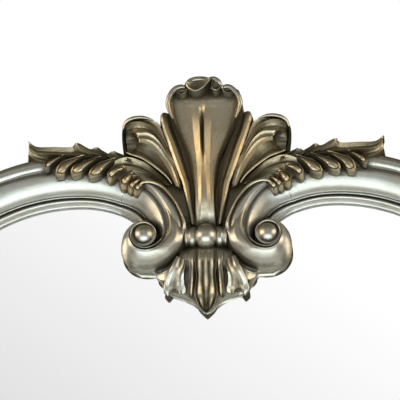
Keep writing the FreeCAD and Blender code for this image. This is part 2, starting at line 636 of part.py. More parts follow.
def drilled(plate, places, face):
    """A plate on the back of the frame with a hole for each screw that passes through it."""
    for x, z in places:
        radius = size("screw_radius") + size("screw_clearance")
        plate = plate.cut(Part.makeCylinder(radius, 2 * overrun, Vector(x, face - overrun, z), BACK))
    return plate


def hardware():
    """The clips that hold the backing board, the plates across the joints, their screws and the dowels."""
    clip_back = rail_back + size("clip_thickness")
    clips = []
    for (x, z, side), place in zip(clip_spots, clip_screws):
        outer = x + side * (size("lip_width") + size("clip_length") * 2 / 3)
        near = min(outer, outer - side * size("clip_length"))
        half_width = size("clip_width") / 2
        corners = [(near, z - half_width), (near + size("clip_length"), z - half_width),
                   (near + size("clip_length"), z + half_width), (near, z + half_width)]
        clips.append(drilled(prism(corners, rail_back, clip_back), [place], rail_back))
    shaped("glazing_clips", Part.makeCompound(clips))
    screw_group("clip_screws", clip_screws, clip_back, rail_back)

    plates = []
    plate_back = rail_back + size("plate_thickness")
    long, wide = size("plate_length") / 2, size("plate_width") / 2
    flat = prism([(-wide, -long), (wide, -long), (wide, long), (-wide, long)], rail_back, plate_back)
    for name, side in SIDES:
        for height, turn in ((size("springing"), 0), (mitre_height, side * 45)):
            place = Placement(Vector(side * half_stile_x, 0, height), Rotation(BACK, turn))
            plate = flat.transformed(place.toMatrix())
            plates.append(drilled(plate, shoulder_plate_screws + corner_plate_screws, rail_back))
    shaped("joint_plates", Part.makeCompound(plates))
    screw_group("plate_screws", shoulder_plate_screws + corner_plate_screws, plate_back, rail_back)

    length = size("dowel_length") - 2 * size("dowel_clearance")
    shaped("shoulder_dowels", Part.makeCompound(
        [Part.makeCylinder(size("dowel_radius"), length, Vector(x, y, size("springing") - length / 2), UP)
         for x, y in dowel_places]))
    height = size("springing") - size("bumper_drop")
    bumpers = [Part.makeCylinder(size("bumper_radius"), size("bumper_height"),
                                 Vector(side * half_stile_x, rail_back, height), BACK)
               for side in (LEFT, RIGHT)]
    shaped("wall_bumpers", Part.makeCompound(bumpers))


# The brackets of the prop, measured from the middle of each leg
leg_places = [side * size("prop_spacing") / 2 for side in (LEFT, RIGHT)]
cheek_inside = size("leg_width") / 2 + size("cheek_gap")
cheek_outside = cheek_inside + size("bracket_thickness")
bracket_half = cheek_outside + size("bracket_flange")
flange_middle = cheek_outside + size("bracket_flange") / 2
bracket_screws = [(middle + side * flange_middle, size("pivot_height") + rise * size("bracket_height") / 3)
                  for middle in leg_places for side in (LEFT, RIGHT) for rise in (-1, 1)]


def batten(label, height):
    """A hardwood batten across the back, screwed to both stiles."""
    body = new_body(label)
    section = bound_rectangle(body, "Section", "XY_Plane", "batten_inset - half_frame",
                              "half_frame - batten_inset", "rail_back", "batten_back")
    section.setExpression(".AttachmentOffset.Base.z", bound(f"{height} - batten_height / 2"))
    pad(body, section, "batten_height")
    places = [place for place in batten_screws if abs(place[1] - size(height)) < size("batten_height")]
    holes = circle_sketch(body, "ScrewPlaces", "XZ_Plane", places, "screw_radius + screw_clearance")
    pocket(body, holes, "ScrewHoles")
    if height == "pivot_height":
        drill_from_back(body, bracket_screws, "screw_radius + screw_clearance", "screw_length",
                        "batten_back", "BracketHoles")
    return keep(body, label)


def prop_bracket(label, middle):
    """A steel channel screwed to the batten, whose cheeks carry the pivot bolt of one leg."""
    body = new_body(label)
    web = size("bracket_thickness")
    depth = web + size("web_to_pivot") + size("bolt_head_radius") + web
    steps = [(-bracket_half, 0), (bracket_half, 0), (bracket_half, web), (cheek_outside, web),
             (cheek_outside, depth), (cheek_inside, depth), (cheek_inside, web), (-cheek_inside, web),
             (-cheek_inside, depth), (-cheek_outside, depth), (-cheek_outside, web), (-bracket_half, web)]
    low = size("pivot_height") - size("bracket_height") / 2
    section = outline_sketch(body, "Section", "XY_Plane", steps,
                             Placement(Vector(middle, size("batten_back"), low), Rotation()))
    pad(body, section, "bracket_height")
    pivot = circle_sketch(body, "PivotPlace", "YZ_Plane", [(size("pivot_depth"), size("pivot_height"))],
                          "bolt_radius + bolt_clearance")
    pocket(body, pivot, "PivotHole")
    places = [place for place in bracket_screws if abs(place[0] - middle) < bracket_half]
    holes = circle_sketch(body, "ScrewPlaces", "XZ_Plane", places, "screw_radius + screw_clearance")
    pocket(body, holes, "ScrewHoles")
    return keep(body, label)


def pivots():
    """The bolts that the legs turn on, through both cheeks, and the nuts on their inner ends."""
    bolts, nuts = [], []
    for middle in leg_places:
        inwards = Vector(math.copysign(1, -middle), 0, 0)
        pivot = Vector(middle, size("pivot_depth"), size("pivot_height"))
        outside = pivot - inwards * cheek_outside
        inside = pivot + inwards * cheek_outside
        head = Part.makeCylinder(size("bolt_head_radius"), size("bolt_head_height"), outside, inwards * -1)
        length = 2 * cheek_outside + size("nut_height") + size("bolt_radius") / 2
        bolts.append(head.fuse(Part.makeCylinder(size("bolt_radius"), length, outside, inwards)))
        nut = Part.makeCylinder(size("bolt_head_radius"), size("nut_height"), inside, inwards)
        bore_radius = size("bolt_radius") + size("bolt_clearance")
        bore = Part.makeCylinder(bore_radius, size("nut_height"), inside, inwards)
        nuts.append(nut.cut(bore))
    shaped("pivot_bolts", Part.makeCompound(bolts))
    shaped("pivot_nuts", Part.makeCompound(nuts))


def prop_leg(label, middle):
    """One leg of the prop, in the prop's own axes: the origin is on the pivot and Z runs up the leg."""
    body = new_body(label)
    half = "leg_width / 2"
    section = bound_rectangle(body, "Section", "XY_Plane", f"{middle} - {half}", f"{middle} + {half}",
                              "-leg_thickness / 2", "leg_thickness / 2")
    section.setExpression(".AttachmentOffset.Base.z", bound("-leg_foot"))
    pad(body, section, "leg_foot + leg_over_pivot")
    pivot = circle_sketch(body, "PivotPlace", "YZ_Plane", [(0, 0)], "bolt_radius + bolt_clearance")
    pocket(body, pivot, "PivotHole")
    return keep(body, label, prop)


def prop_rungs():
    """The three rungs that tie the legs together, butted between them and doweled."""
    highest, lowest = -size("top_rung_drop"), size("foot_rung_rise") - size("leg_reach")
    inside = size("prop_spacing") - size("leg_width")
    for name, height in (("top", highest), ("middle", (highest + lowest) / 2), ("bottom", lowest)):
        corner = Vector(-inside / 2, -size("rung_thickness") / 2, height - size("rung_height") / 2)
        rung = Part.makeBox(inside, size("rung_thickness"), size("rung_height"), corner)
        shaped(f"prop_rung_{name}", rung, prop)


def wedge(low_x, width, corners):
    """A block whose outline is drawn from the side, in Y and Z, and made solid across the frame."""
    wire = Part.makePolygon([Vector(low_x, y, z) for y, z in [*corners, corners[0]]])
    return Part.Face(wire).extrude(Vector(width, 0, 0))


def prop_tip(label, middle):
    """The rubber shoe on a leg, whose underside lies flat on the floor."""
    half_depth, reach = size("tip_half_depth"), size("leg_reach")
    slope = math.tan(math.radians(size("leg_slope")))
    half_width = size("leg_width") / 2 + size("tip_wall")
    corners = [(-half_depth, -reach + half_depth * slope), (half_depth, -reach - half_depth * slope),
               (half_depth, -reach + size("tip_height")), (-half_depth, -reach + size("tip_height"))]
    leg = Part.makeBox(size("leg_width"), size("leg_thickness"), size("tip_height") + overrun,
                       Vector(middle - size("leg_width") / 2, -size("leg_thickness") / 2, -size("leg_foot")))
    shaped(label, wedge(middle - half_width, 2 * half_width, corners).cut(leg), prop)


def floor_foot(label, side):
    """A wedge-shaped pad under the bottom rail, whose underside lies flat on the floor."""
    slope = math.tan(math.radians(size("lean_angle")))
    front, top = rail_back - size("foot_depth"), size("frame_bottom")
    corners = [(front, front * slope), (rail_back, rail_back * slope), (rail_back, top), (front, top)]
    low_x = side * (size("half_frame") - size("foot_inset")) - size("foot_width") / 2
    shaped(label, wedge(low_x, size("foot_width"), corners))


stile("stile_left", LEFT)
stile("stile_right", RIGHT)
bottom_rail("bottom_rail")
top_rails = [top_rail("top_rail_left", LEFT), top_rail("top_rail_right", RIGHT)]
glazing()
document.recompute()
crest_board(top_rails)
shell()
side_leaves()
scrolls()
eye_x, eye_z = on_grid(eye_shares)
button("scroll_eye_left", (eye_x, eye_z), "eye_radius", "eye_rise")
button("scroll_eye_right", (-eye_x, eye_z), "eye_radius", "eye_rise")
button("centre_boss", (0, boss_height), "boss_radius", "boss_rise")
collar("collar_left", LEFT)
collar("collar_right", RIGHT)
pendant()
leaf_sprays(top_rails)
hardware()
batten("lower_batten", "lower_batten_height")
batten("prop_batten", "pivot_height")
screw_group("batten_screws", batten_screws, size("batten_back"), rail_back)
for (name, side), middle in zip(SIDES, leg_places):
    prop_bracket(f"prop_bracket_{name}", middle)
    prop_leg(f"prop_leg_{name}", middle)
    prop_tip(f"prop_tip_{name}", middle)
    floor_foot(f"floor_foot_{name}", side)
screw_group("bracket_screws", bracket_screws, size("batten_back") + size("bracket_thickness"),
            size("batten_back"))
pivots()
prop_rungs()

document.recompute()
for item in document.Objects:
    if {"Invalid", "Error"} & set(item.State):
        raise RuntimeError(f"{item.Label} could not be built: {item.State}")
os.makedirs("parts", exist_ok=True)
for item in subparts:
    shape = item.Shape
    if shape.isNull() or not shape.isValid() or shape.Volume <= 0:
        raise RuntimeError(f"{item.Label} has no valid solid")
for item in subparts:
    item.Shape.exportStep(os.path.join("parts", f"{item.Label}.step"))
print(f"{len(subparts)} pieces, {sum(len(item.Shape.Solids) for item in subparts)} solids")
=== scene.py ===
import math
import bmesh
import bpy
from mathutils import Matrix, Vector
from mathutils.bvhtree import BVHTree


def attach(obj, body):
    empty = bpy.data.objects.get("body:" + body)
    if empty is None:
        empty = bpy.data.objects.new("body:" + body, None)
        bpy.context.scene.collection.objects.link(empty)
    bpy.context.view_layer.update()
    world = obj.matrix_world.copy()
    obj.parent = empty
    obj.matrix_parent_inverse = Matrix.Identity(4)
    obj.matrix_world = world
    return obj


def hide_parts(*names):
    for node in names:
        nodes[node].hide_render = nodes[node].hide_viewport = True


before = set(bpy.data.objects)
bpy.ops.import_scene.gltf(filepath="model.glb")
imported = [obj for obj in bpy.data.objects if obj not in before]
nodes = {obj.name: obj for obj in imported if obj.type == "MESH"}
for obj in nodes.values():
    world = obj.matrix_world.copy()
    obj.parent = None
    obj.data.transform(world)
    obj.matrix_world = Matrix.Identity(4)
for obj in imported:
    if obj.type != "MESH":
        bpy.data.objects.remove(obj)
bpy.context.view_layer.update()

# The camera
# It looks up at the carved boss from a little to the right, as a person standing
# close in front of the mirror holds it.
boss_middle = Vector((0.0, 0.0069, 1.5702))
view_side = math.radians(3.5)
view_rise = math.radians(10)
view_distance = 5.0
view_span = 0.52
to_eye = Vector((
    math.sin(view_side) * math.cos(view_rise),
    -math.cos(view_side) * math.cos(view_rise),
    -math.sin(view_rise),
))
eye_place = boss_middle + to_eye * view_distance
view_turn = to_eye.to_track_quat("Z", "Y").to_matrix()
aim_shift = Vector((-0.0067, 0.0476, 0))
aim = boss_middle + view_turn @ aim_shift
camera_tilt = -0.005
tilt = Matrix.Rotation(camera_tilt, 3, "Z")
camera_data = bpy.data.cameras.new("camera")
camera_data.sensor_width = 36
camera_data.lens = camera_data.sensor_width * view_distance / view_span
camera = bpy.data.objects.new("camera", camera_data)
camera_turn = (eye_place - aim).to_track_quat("Z", "Y").to_matrix() @ tilt
camera.matrix_world = Matrix.Translation(eye_place) @ camera_turn.to_4x4()
bpy.context.scene.collection.objects.link(camera)
bpy.context.scene.camera = camera

# The moulded frame
# Two stiles, a bottom rail and two arched top rails of carved hardwood, covered with
# gesso and silver leaf. Sizes are millimetres: x across, u up from the boss, h out of the wall.
boss_height = 1.58
foot_setback = 0.173356
lean_back = math.radians(8)
lean = Matrix.Translation((0, -foot_setback, 0)) @ Matrix.Rotation(-lean_back, 4, "X")
upright = Matrix(((0.001, 0, 0, 0), (0, 0, -0.001, 0), (0, 0.001, 0, boss_height), (0, 0, 0, 1)))
on_frame = lean @ upright
moulding_width = 68
moulding_back = -13
sight_edge = 5.5
rebate_lip = 10
fillet_out = 47
half_sight = 382
shoulder_radius = 215
hump_side = 167
hump_radius = 130
springing = -164
hump_foot = -79
sight_bottom = -1500


def smooth_between(near, t):
    """The place a share t of the way from the second to the third of four places."""
    return [
        q + 0.5 * t * (r - p + t * (2 * p - 5 * q + 4 * r - s + t * (3 * q - p - 3 * r + s)))
        for p, q, r, s in zip(*near)
    ]


def smooth_place(points, share):
    """The place at a share of the way along a smooth line through the points."""
    spot = share * (len(points) - 1)
    k = min(int(spot), len(points) - 2)
    near = [points[max(k - 1, 0)], points[k], points[k + 1], points[min(k + 2, len(points) - 1)]]
    return smooth_between(near, spot - k)


def smooth_value(values, share):
    return smooth_place([(value,) for value in values], share)[0]


def smooth_line(points, count):
    return [smooth_place(points, k / count) for k in range(count + 1)]


def stretched_grid(bm, across, along, place):
    """A grid whose corners go where place says, by the share across and the share along."""
    grid = bmesh.ops.create_grid(bm, x_segments=across, y_segments=along, size=0.5)
    for corner in grid["verts"]:
        corner.co = place(corner.co.x + 0.5, corner.co.y + 0.5)


def close_ends(bm):
    bmesh.ops.holes_fill(bm, edges=[edge for edge in bm.edges if edge.is_boundary], sides=0)
    bmesh.ops.recalc_face_normals(bm, faces=bm.faces)
    return bm


def closed_up(bm, apart):
    """Joins the corners that meet, fills the open ends and turns the faces outward."""
    bmesh.ops.remove_doubles(bm, verts=bm.verts, dist=apart)
    return close_ends(bm)


def new_piece(name, bm, material):
    """Puts a modelled form in the scene as a piece, and frees it."""
    mesh = bpy.data.meshes.new(name)
    bm.to_mesh(mesh)
    bm.free()
    mesh.materials.append(material)
    piece = bpy.data.objects.new(name, mesh)
    bpy.context.scene.collection.objects.link(piece)
    return piece


def finished_piece(name, bm, node_name, material, body="mirror_frame", sharp=34):
    """Puts a modelled piece on the frame and hides the CAD node it stands for."""
    bmesh.ops.transform(bm, matrix=on_frame, verts=bm.verts)
    piece = new_piece(name, bm, material)
    piece.data.shade_smooth()
    piece.data.set_sharp_from_angle(angle=math.radians(sharp))
    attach(piece, body)
    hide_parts(node_name)
    return piece


def fill_inputs(tree, node, inputs):
    """Links or fills the inputs of a shader node."""
    for key, value in inputs.items():
        if isinstance(value, bpy.types.NodeSocket):
            tree.links.new(value, node.inputs[key])
        else:
            node.inputs[key].default_value = value


def add_node(tree, kind, inputs=None, **settings):
    """Adds a shader node, sets its settings, and links or fills its inputs."""
    made = tree.nodes.new(kind)
    for key, value in settings.items():
        setattr(made, key, value)
    fill_inputs(tree, made, inputs or {})
    return made


def object_place(tree):
    return add_node(tree, "ShaderNodeTexCoord").outputs["Object"]


def noise(tree, place, scale, detail=2.0, **more):
    """A cloudy value over the piece, broad at a low scale and fine at a high one."""
    inputs = {"Vector": place, "Scale": scale, "Detail": detail, **more}
    return add_node(tree, "ShaderNodeTexNoise", inputs).outputs["Fac"]


def worked_out(tree, operation, *values):
    return add_node(tree, "ShaderNodeMath", dict(enumerate(values)), operation=operation).outputs[0]


def mixed(tree, factor, first, second):
    """The colour between two colours, by a factor."""
    return add_node(tree, "ShaderNodeMix", {0: factor, 6: first, 7: second}, data_type="RGBA").outputs[2]


def spread(tree, value, low, high, to_low=0.0, to_high=1.0):
    """A value taken from one range to another and kept inside it."""
    limits = {"Value": value, "From Min": low, "From Max": high, "To Min": to_low, "To Max": to_high}
    return add_node(tree, "ShaderNodeMapRange", limits).outputs["Result"]


def bumped(tree, height, strength, depth):
    """The surface's turn over a fine relief."""
    relief = {"Height": height, "Strength": strength, "Distance": depth}
    return add_node(tree, "ShaderNodeBump", relief).outputs["Normal"]


def finish_group(name, inputs):
    """A shared finish that puts out a colour, a roughness and a height."""
    group = bpy.data.node_groups.new(name, "ShaderNodeTree")
    for key, kind, value in inputs:
        socket = group.interface.new_socket(key, in_out="INPUT", socket_type=kind)
        socket.default_value = value
    for key, kind in (("Colour", colour), ("Roughness", number), ("Height", number)):
        group.interface.new_socket(key, in_out="OUTPUT", socket_type=kind)
    return group, group.nodes.new("NodeGroupInput").outputs, group.nodes.new("NodeGroupOutput")


number, colour = "NodeSocketFloat", "NodeSocketColor"
# The first input is a mask of dark wax in the hollows and of painted shade; it turns the leaf to its patina.
leaf_group, leaf_in, leaf_out = finish_group("rubbed_silver_leaf", [
    ("Wax and painted shade", number, 0.0),
    ("Silver", colour, (0.6, 0.56, 0.5, 1)),
    ("Champagne", colour, (0.62, 0.48, 0.3, 1)),
    ("Gold", colour, (0.6, 0.45, 0.25, 1)),
    ("Gold from", number, 1.6),
    ("Patina", colour, (0.12, 0.1, 0.07, 1)),
    ("Wear", number, 0.5),
])
leaf_place = object_place(leaf_group)
cloud = noise(leaf_group, leaf_place, 22.0, 4.0)
mottle = noise(leaf_group, leaf_place, 210.0, 6.0, Roughness=0.62)
grain = noise(leaf_group, leaf_place, 1500.0)
warm_share = spread(leaf_group, cloud, 0.38, 0.68, 0.1, 0.75)
leaf_rise = add_node(leaf_group, "ShaderNodeSeparateXYZ", {0: leaf_place}).outputs["Z"]
gold_rise = worked_out(leaf_group, "SUBTRACT", leaf_rise, leaf_in["Gold from"])
gold_low = spread(leaf_group, gold_rise, 0.0, 0.05)
gold_high = spread(leaf_group, gold_rise, 0.14, 0.185, 1.0, 0.15)
gold_share = worked_out(leaf_group, "MULTIPLY", gold_low, gold_high)
low_tone = mixed(leaf_group, warm_share, leaf_in["Silver"], leaf_in["Champagne"])
high_tone = mixed(leaf_group, warm_share, leaf_in["Champagne"], leaf_in["Gold"])
leaf_tone = mixed(leaf_group, gold_share, low_tone, high_tone)
dirt = worked_out(leaf_group, "MULTIPLY", mottle, leaf_in["Wear"])
# painted shade and wax from the pieces' mask, plus random dirt
wax_shade_and_dirt = worked_out(leaf_group, "ADD", leaf_in["Wax and painted shade"], dirt)
patina_and_shade_share = spread(leaf_group, wax_shade_and_dirt, 0.34, 0.9, 0.0, 0.88)
rough_cloud = spread(leaf_group, mottle, 0.3, 0.75, 0.28, 0.42)
fill_inputs(leaf_group, leaf_out, {
    "Colour": mixed(leaf_group, patina_and_shade_share, leaf_tone, leaf_in["Patina"]),
    "Roughness": worked_out(leaf_group, "MULTIPLY_ADD", patina_and_shade_share, 0.16, rough_cloud),
    "Height": worked_out(leaf_group, "MULTIPLY_ADD", grain, 0.25, mottle),
})


def principled(name):
    """A new material with one shader, and its node tree."""
    material = bpy.data.materials.new(name)
    material.use_nodes = True
    return material, material.node_tree, material.node_tree.nodes["Principled BSDF"]


def metal_finish(name, group, inputs, strength, depth):
    """A metal with a shared finish, and a relief by the finish's height."""
    material, tree, shader = principled(name)
    finish = add_node(tree, "ShaderNodeGroup", inputs, node_tree=group)
    # the pieces' mask of wax and painted shade, where the finish takes one
    if "Wax and painted shade" in finish.inputs:
        wax_and_painted_shade = add_node(tree, "ShaderNodeAttribute", attribute_name="wax_and_painted_shade")
        tree.links.new(wax_and_painted_shade.outputs["Fac"], finish.inputs["Wax and painted shade"])
    made = finish.outputs
    fill_inputs(tree, shader, {
        "Metallic": 1.0, "Base Color": made["Colour"], "Roughness": made["Roughness"],
        "Normal": bumped(tree, made["Height"], strength, depth),
    })
    return material


rail_leaf = metal_finish("rail_silver_leaf", leaf_group, {
    "Silver": (0.57, 0.58, 0.56, 1), "Champagne": (0.5, 0.48, 0.42, 1), "Gold": (0.5, 0.45, 0.36, 1),
    "Patina": (0.16, 0.152, 0.125, 1), "Wear": 0.45, "Gold from": 9.0,
}, 0.22, 0.0006)
carving_leaf = metal_finish("carving_silver_leaf", leaf_group, {
    "Silver": (0.55, 0.55, 0.52, 1), "Champagne": (0.52, 0.47, 0.35, 1), "Gold": (0.62, 0.47, 0.27, 1),
    "Patina": (0.16, 0.145, 0.105, 1), "Wear": 0.5, "Gold from": 1.58,
}, 0.25, 0.0006)

moulding_runs = [
    ([(5.5, 6), (6.6, 8), (8.2, 10.6), (9.6, 12.4), (11.1, 13.4), (12.6, 13.6), (13.6, 12.4)], 14),
    ([(13.6, 12.4), (14.1, 10.2), (15, 9.4), (16, 10.2), (16.7, 13)], 10),
    ([(16.7, 13.4), (17.7, 14)], 1),
    ([(17.7, 14), (19.5, 18.6), (22.4, 22.6), (26, 25.8), (31, 28.9), (37, 31.6), (43, 33.5)], 24),
    ([(43, 33.8), (47, 33.6)], 1),
    ([(47, 30.6), (51, 30.6)], 1),
    ([(51, 33), (53.4, 33)], 1),
    ([(53.4, 33), (57, 35.4), (61.5, 35.7), (66, 33.2), (68, 28)], 14),
]
moulding_section = [(sight_edge, 0)]
for run, count in moulding_runs:
    moulding_section += [tuple(spot) for spot in smooth_line(run, count)]
moulding_section += [
    (moulding_width, moulding_back), (rebate_lip, moulding_back), (rebate_lip, 0), (sight_edge, 0)]


def moulding_length(stations):
    """The moulding's section carried through the stations, closed at both ends."""
    bm = bmesh.new()

    def place(side, along):
        out, rise = moulding_section[round(side * (len(moulding_section) - 1))]
        x, u, *sunk = stations[round(along * (len(stations) - 1))](out)
        return x, u, rise - sum(sunk) * (rise > 1)

    stretched_grid(bm, len(moulding_section) - 1, len(stations) - 1, place)
    return closed_up(bm, 0.001)


def straight_between(start, end, count):
    """Stations from one to the other, each a rule from the outward distance to x and u."""
    def between(t):
        return lambda out: [a + (b - a) * t for a, b in zip(start(out), end(out))]
    return [between(k / count) for k in range(count + 1)]


def turn_about(x, u, radius, start, end, count, pinch_from, pinch_to):
    """Stations round a corner, the angle in degrees from level. The pinch draws the fillets in."""
    def at(angle, pinch):
        def spot(out):
            beyond = moulding_width - fillet_out
            share = out / fillet_out if out < fillet_out else (moulding_width - out) / beyond
            reach = radius + out - pinch * share
            return x - reach * math.cos(angle), u + reach * math.sin(angle)
        return spot
    made = []
    for k in range(count + 1):
        t = k / count
        pinch = pinch_from + (pinch_to - pinch_from) * max(0, 3 * t - 2) if pinch_to > pinch_from else pinch_to
        made.append(at(math.radians(start + (end - start) * t), pinch))
    return made


# the last stretch curls in beside the scroll's eye: sight edge, ovolo foot, fillet and back edge
curl_in = [
    [(-113.6, 39.5), (-109.5, 52), (-91.5, 73), (-79, 89)],
    [(-104, 33), (-98.5, 47.5), (-80.5, 66.5), (-67, 81)],
    [(-96, 26), (-88, 40.5), (-71.5, 58.5), (-57, 71)],
    [(-90, 17), (-80, 32), (-63.5, 47.5), (-46, 58)],
    [(-86, 9), (-72.5, 22.5), (-57.2, 34), (-36, 42)],
    [(-83, 3), (-66, 12), (-54, 18), (-30, 22)],
    [(-81, 0), (-65, 2), (-54.6, 6), (-31, 4)],
    [(-80, -2), (-67, -6), (-60, -4.5), (-38, -12)],
    [(-80, -4), (-72, -11.5), (-69, -12.5), (-52, -24)],
]
curl_outs = [0, 14.6, fillet_out, moulding_width]
curl_sinks = [0, 0, 0, 0, 0, 0.5, 1.5, 4, 9, 14]


def curl_station(anchors, sunk):
    def at(out):
        k = 0 if out <= curl_outs[1] else 1 if out <= curl_outs[2] else 2
        t = (out - curl_outs[k]) / (curl_outs[k + 1] - curl_outs[k])
        if k == 1:
            t = t * (1.12 - 0.12 * t)
        return [*(a + (b - a) * t for a, b in zip(anchors[k], anchors[k + 1])), sunk]
    return at


def curl_stations(start, count):
    """Stations from the hump's end through the curl, on smooth lines."""
    begin = [start(out) for out in curl_outs]
    rows = [begin] + curl_in
    made = []
    for k in range(1, count + 1):
        anchors = [smooth_place([row[side] for row in rows], k / count) for side in range(4)]
        made.append(curl_station(anchors, smooth_value(curl_sinks, k / count)))
    return made


def mirrored(bm):
    bmesh.ops.scale(bm, vec=(-1, 1, 1), verts=bm.verts)
    bmesh.ops.reverse_faces(bm, faces=bm.faces)
    return bm


def mitre(out):
    return -half_sight - out, sight_bottom - out


def stile_head(out):
    return -half_sight - out, springing


def other_mitre(out):
    return half_sight + out, sight_bottom - out


def as_made(bm):
    return bm


both_sides = (("left", as_made), ("right", mirrored))
shoulder = turn_about(-hump_side, springing, shoulder_radius, 0, 90, 48, 0, 7)
hump = turn_about(-hump_side, hump_foot, hump_radius, 90, 112, 16, 7, 7)
top_rail_stations = shoulder + hump[1:] + curl_stations(hump[-1], 64)
gilded = []


def add_moulding(node_name, bm):
    gilded.append(finished_piece(f"gilded_{node_name}", bm, node_name, rail_leaf))


for side, turned in both_sides:
    add_moulding(f"stile_{side}", turned(moulding_length(straight_between(mitre, stile_head, 40))))
    add_moulding(f"top_rail_{side}", turned(moulding_length(top_rail_stations)))
add_moulding("bottom_rail", moulding_length(straight_between(mitre, other_mitre, 30)))

# The mirror glass, its felt strip and the backing board
# Silvered float glass lies on black felt in the rebate, under a board of pressed fibre.
glass_silver, glass_tree, glass_shader = principled("silvered_glass")
wiped = noise(glass_tree, object_place(glass_tree), 3.0, 3.0)
fill_inputs(glass_tree, glass_shader, {
    "Metallic": 1.0,
    "Base Color": mixed(glass_tree, wiped, (0.95, 0.95, 0.95, 1), (0.97, 0.97, 0.97, 1)),
    "Roughness": spread(glass_tree, wiped, 0.3, 0.8, 0.015, 0.04),
})
felt_black, felt_tree, felt_shader = principled("black_felt")
fibres = noise(felt_tree, object_place(felt_tree), 900.0, 5.0)
fill_inputs(felt_tree, felt_shader, {
    "Base Color": mixed(felt_tree, fibres, (0.012, 0.012, 0.013, 1), (0.05, 0.05, 0.052, 1)),
    "Roughness": 0.95,
    "Normal": bumped(felt_tree, fibres, 1.0, 0.0005),
})
board_brown, board_tree, board_shader = principled("pressed_fibre_board")
board_place = object_place(board_tree)
chips = noise(board_tree, board_place, 420.0, 6.0, Roughness=0.7)
board_cloud = spread(board_tree, noise(board_tree, board_place, 9.0, 3.0), 0.3, 0.8, 0, 0.4)
board_dark = mixed(board_tree, chips, (0.16, 0.1, 0.055, 1), (0.36, 0.25, 0.15, 1))
fill_inputs(board_tree, board_shader, {
    "Base Color": mixed(board_tree, board_cloud, board_dark, (0.27, 0.19, 0.12, 1)),
    "Roughness": 0.72,
    "Normal": bumped(board_tree, chips, 0.4, 0.0004),
})


def finish_nodes(material, *names):
    """Gives CAD nodes their material in every slot."""
    for name in names:
        mesh = nodes[name].data
        if not mesh.materials:
            mesh.materials.append(material)
        for k in range(len(mesh.materials)):
            mesh.materials[k] = material


def node_copy(name):
    """A merged copy of a CAD node, in the frame's millimetres."""
    bm = bmesh.new()
    bm.from_mesh(nodes[name].data)
    bmesh.ops.transform(bm, matrix=on_frame.inverted(), verts=bm.verts)
    bmesh.ops.remove_doubles(bm, verts=bm.verts, dist=0.02)
    return bm


felt = node_copy("felt_strip")
felt_drawn_back = 5
pane_middle = Vector((0, -800, 0))
felt_moves = []
for corner in felt.verts:
    wall = sum((face.normal for face in corner.link_faces if abs(face.normal.z) < 0.2), Vector())
    if wall.dot(corner.co - pane_middle) < 0:
        felt_moves.append((corner, wall.normalized() * felt_drawn_back))
for corner, move in felt_moves:
    corner.co -= move
finished_piece("trimmed_felt", felt, "felt_strip", felt_black)
finish_nodes(glass_silver, "mirror_glass")
finish_nodes(board_brown, "backing_board")

# The crest board
# A sawn board glued over the joint of the top rails. Its rounded edge shows under the
# carving, leafed, with its patina darkened by painted shade where the carving closes over it.
smoothed_below = -45
board_rise = 3.9
rise_from = -20
rise_within = 30
board_middle = 70
corner_from, corner_low, corner_high, short_edge = 84, -30, 62, 6
# from the foot up, how far from the middle the board may reach beside a scroll, as (u, x)
eye_corner = (
    (-12, 104), (2, 104), (12, 102), (19, 96), (25, 88), (34, 80), (60, 80),
)


def eased(bm, edges, round_by):
    """Rounds edges over with a small bevel."""
    bmesh.ops.bevel(bm, geom=edges, offset=round_by, segments=2, profile=0.5, affect="EDGES",
                    material=-1, clamp_overlap=True)


def rounded_node(name, round_by, smoothing=0, shaped=None):
    """A copy of a CAD node with its arrises rounded, in the crest's millimetres."""
    bm = node_copy(name)
    bmesh.ops.dissolve_limit(bm, angle_limit=math.radians(1), verts=bm.verts, edges=bm.edges)
    if shaped:
        shaped(bm)
    for _ in range(smoothing):
        low = [corner for corner in bm.verts if corner.co.y < smoothed_below]
        bmesh.ops.smooth_vert(bm, verts=low, factor=0.5, use_axis_x=True, use_axis_y=True, use_axis_z=False)
    arrises = [edge for edge in bm.edges if edge.is_manifold and edge.calc_face_angle(0) > math.radians(60)]
    eased(bm, arrises, round_by)
    return bm


def drawn_in(bm):
    """Draws the board's corner beside each scroll in behind the scroll's edge."""
    for edge in list(bm.edges):
        (x1, u1, _), (x2, u2, _) = (corner.co for corner in edge.verts)
        beside = min(abs(x1), abs(x2)) > corner_from and corner_low < min(u1, u2) and max(u1, u2) < corner_high
        if beside and abs(u1 - u2) > short_edge:
            bmesh.ops.subdivide_edges(bm, edges=[edge], cuts=12)
    for corner in bm.verts:
        for (low, low_reach), (high, high_reach) in zip(eye_corner, eye_corner[1:]):
            if low <= corner.co.y < high and abs(corner.co.x) > board_middle:
                reach = low_reach + (high_reach - low_reach) * (corner.co.y - low) / (high - low)
                corner.co.x = math.copysign(min(abs(corner.co.x), reach), corner.co.x)


board = rounded_node("crest_board", 0.8, 4, drawn_in)
for corner in board.verts:
    # the foot of the board is drawn up under the pendant, by degrees
    corner.co.y += board_rise * min(1, max(0, (rise_from - corner.co.y) / rise_within))
gilded.append(finished_piece("leafed_crest_board", board, "crest_board", carving_leaf))

# The shell fan
# The tall middle leaf of the shell, carved with two ridges and a dark parting and
# standing forward at the top, where its lip rolls over.
def carved_leaf(lines, foot, scoop=1.7, across=8, along=56, rim=0.7, round_ends=False):
    """A leaf carved between lines of (x, u, h). Hollows run between its ridges."""
    bm = bmesh.new()
    lanes = len(lines) - 1

    def place(side, up):
        spot = side * lanes
        k = min(int(spot), lanes - 1)
        t = spot - k
        x1, u1, h1 = smooth_place(lines[k], up)
        x2, u2, h2 = smooth_place(lines[k + 1], up)
        lift = t ** scoop if h2 > h1 else 1 - (1 - t) ** scoop
        x, u = x1 + (x2 - x1) * t, u1 + (u2 - u1) * t
        if round_ends:
            x, u, _ = smooth_place([smooth_place(line, up) for line in lines], side)
        return x, u, h1 + (h2 - h1) * lift

    stretched_grid(bm, across * lanes, along, place)
    return walled(bm, foot, rim)


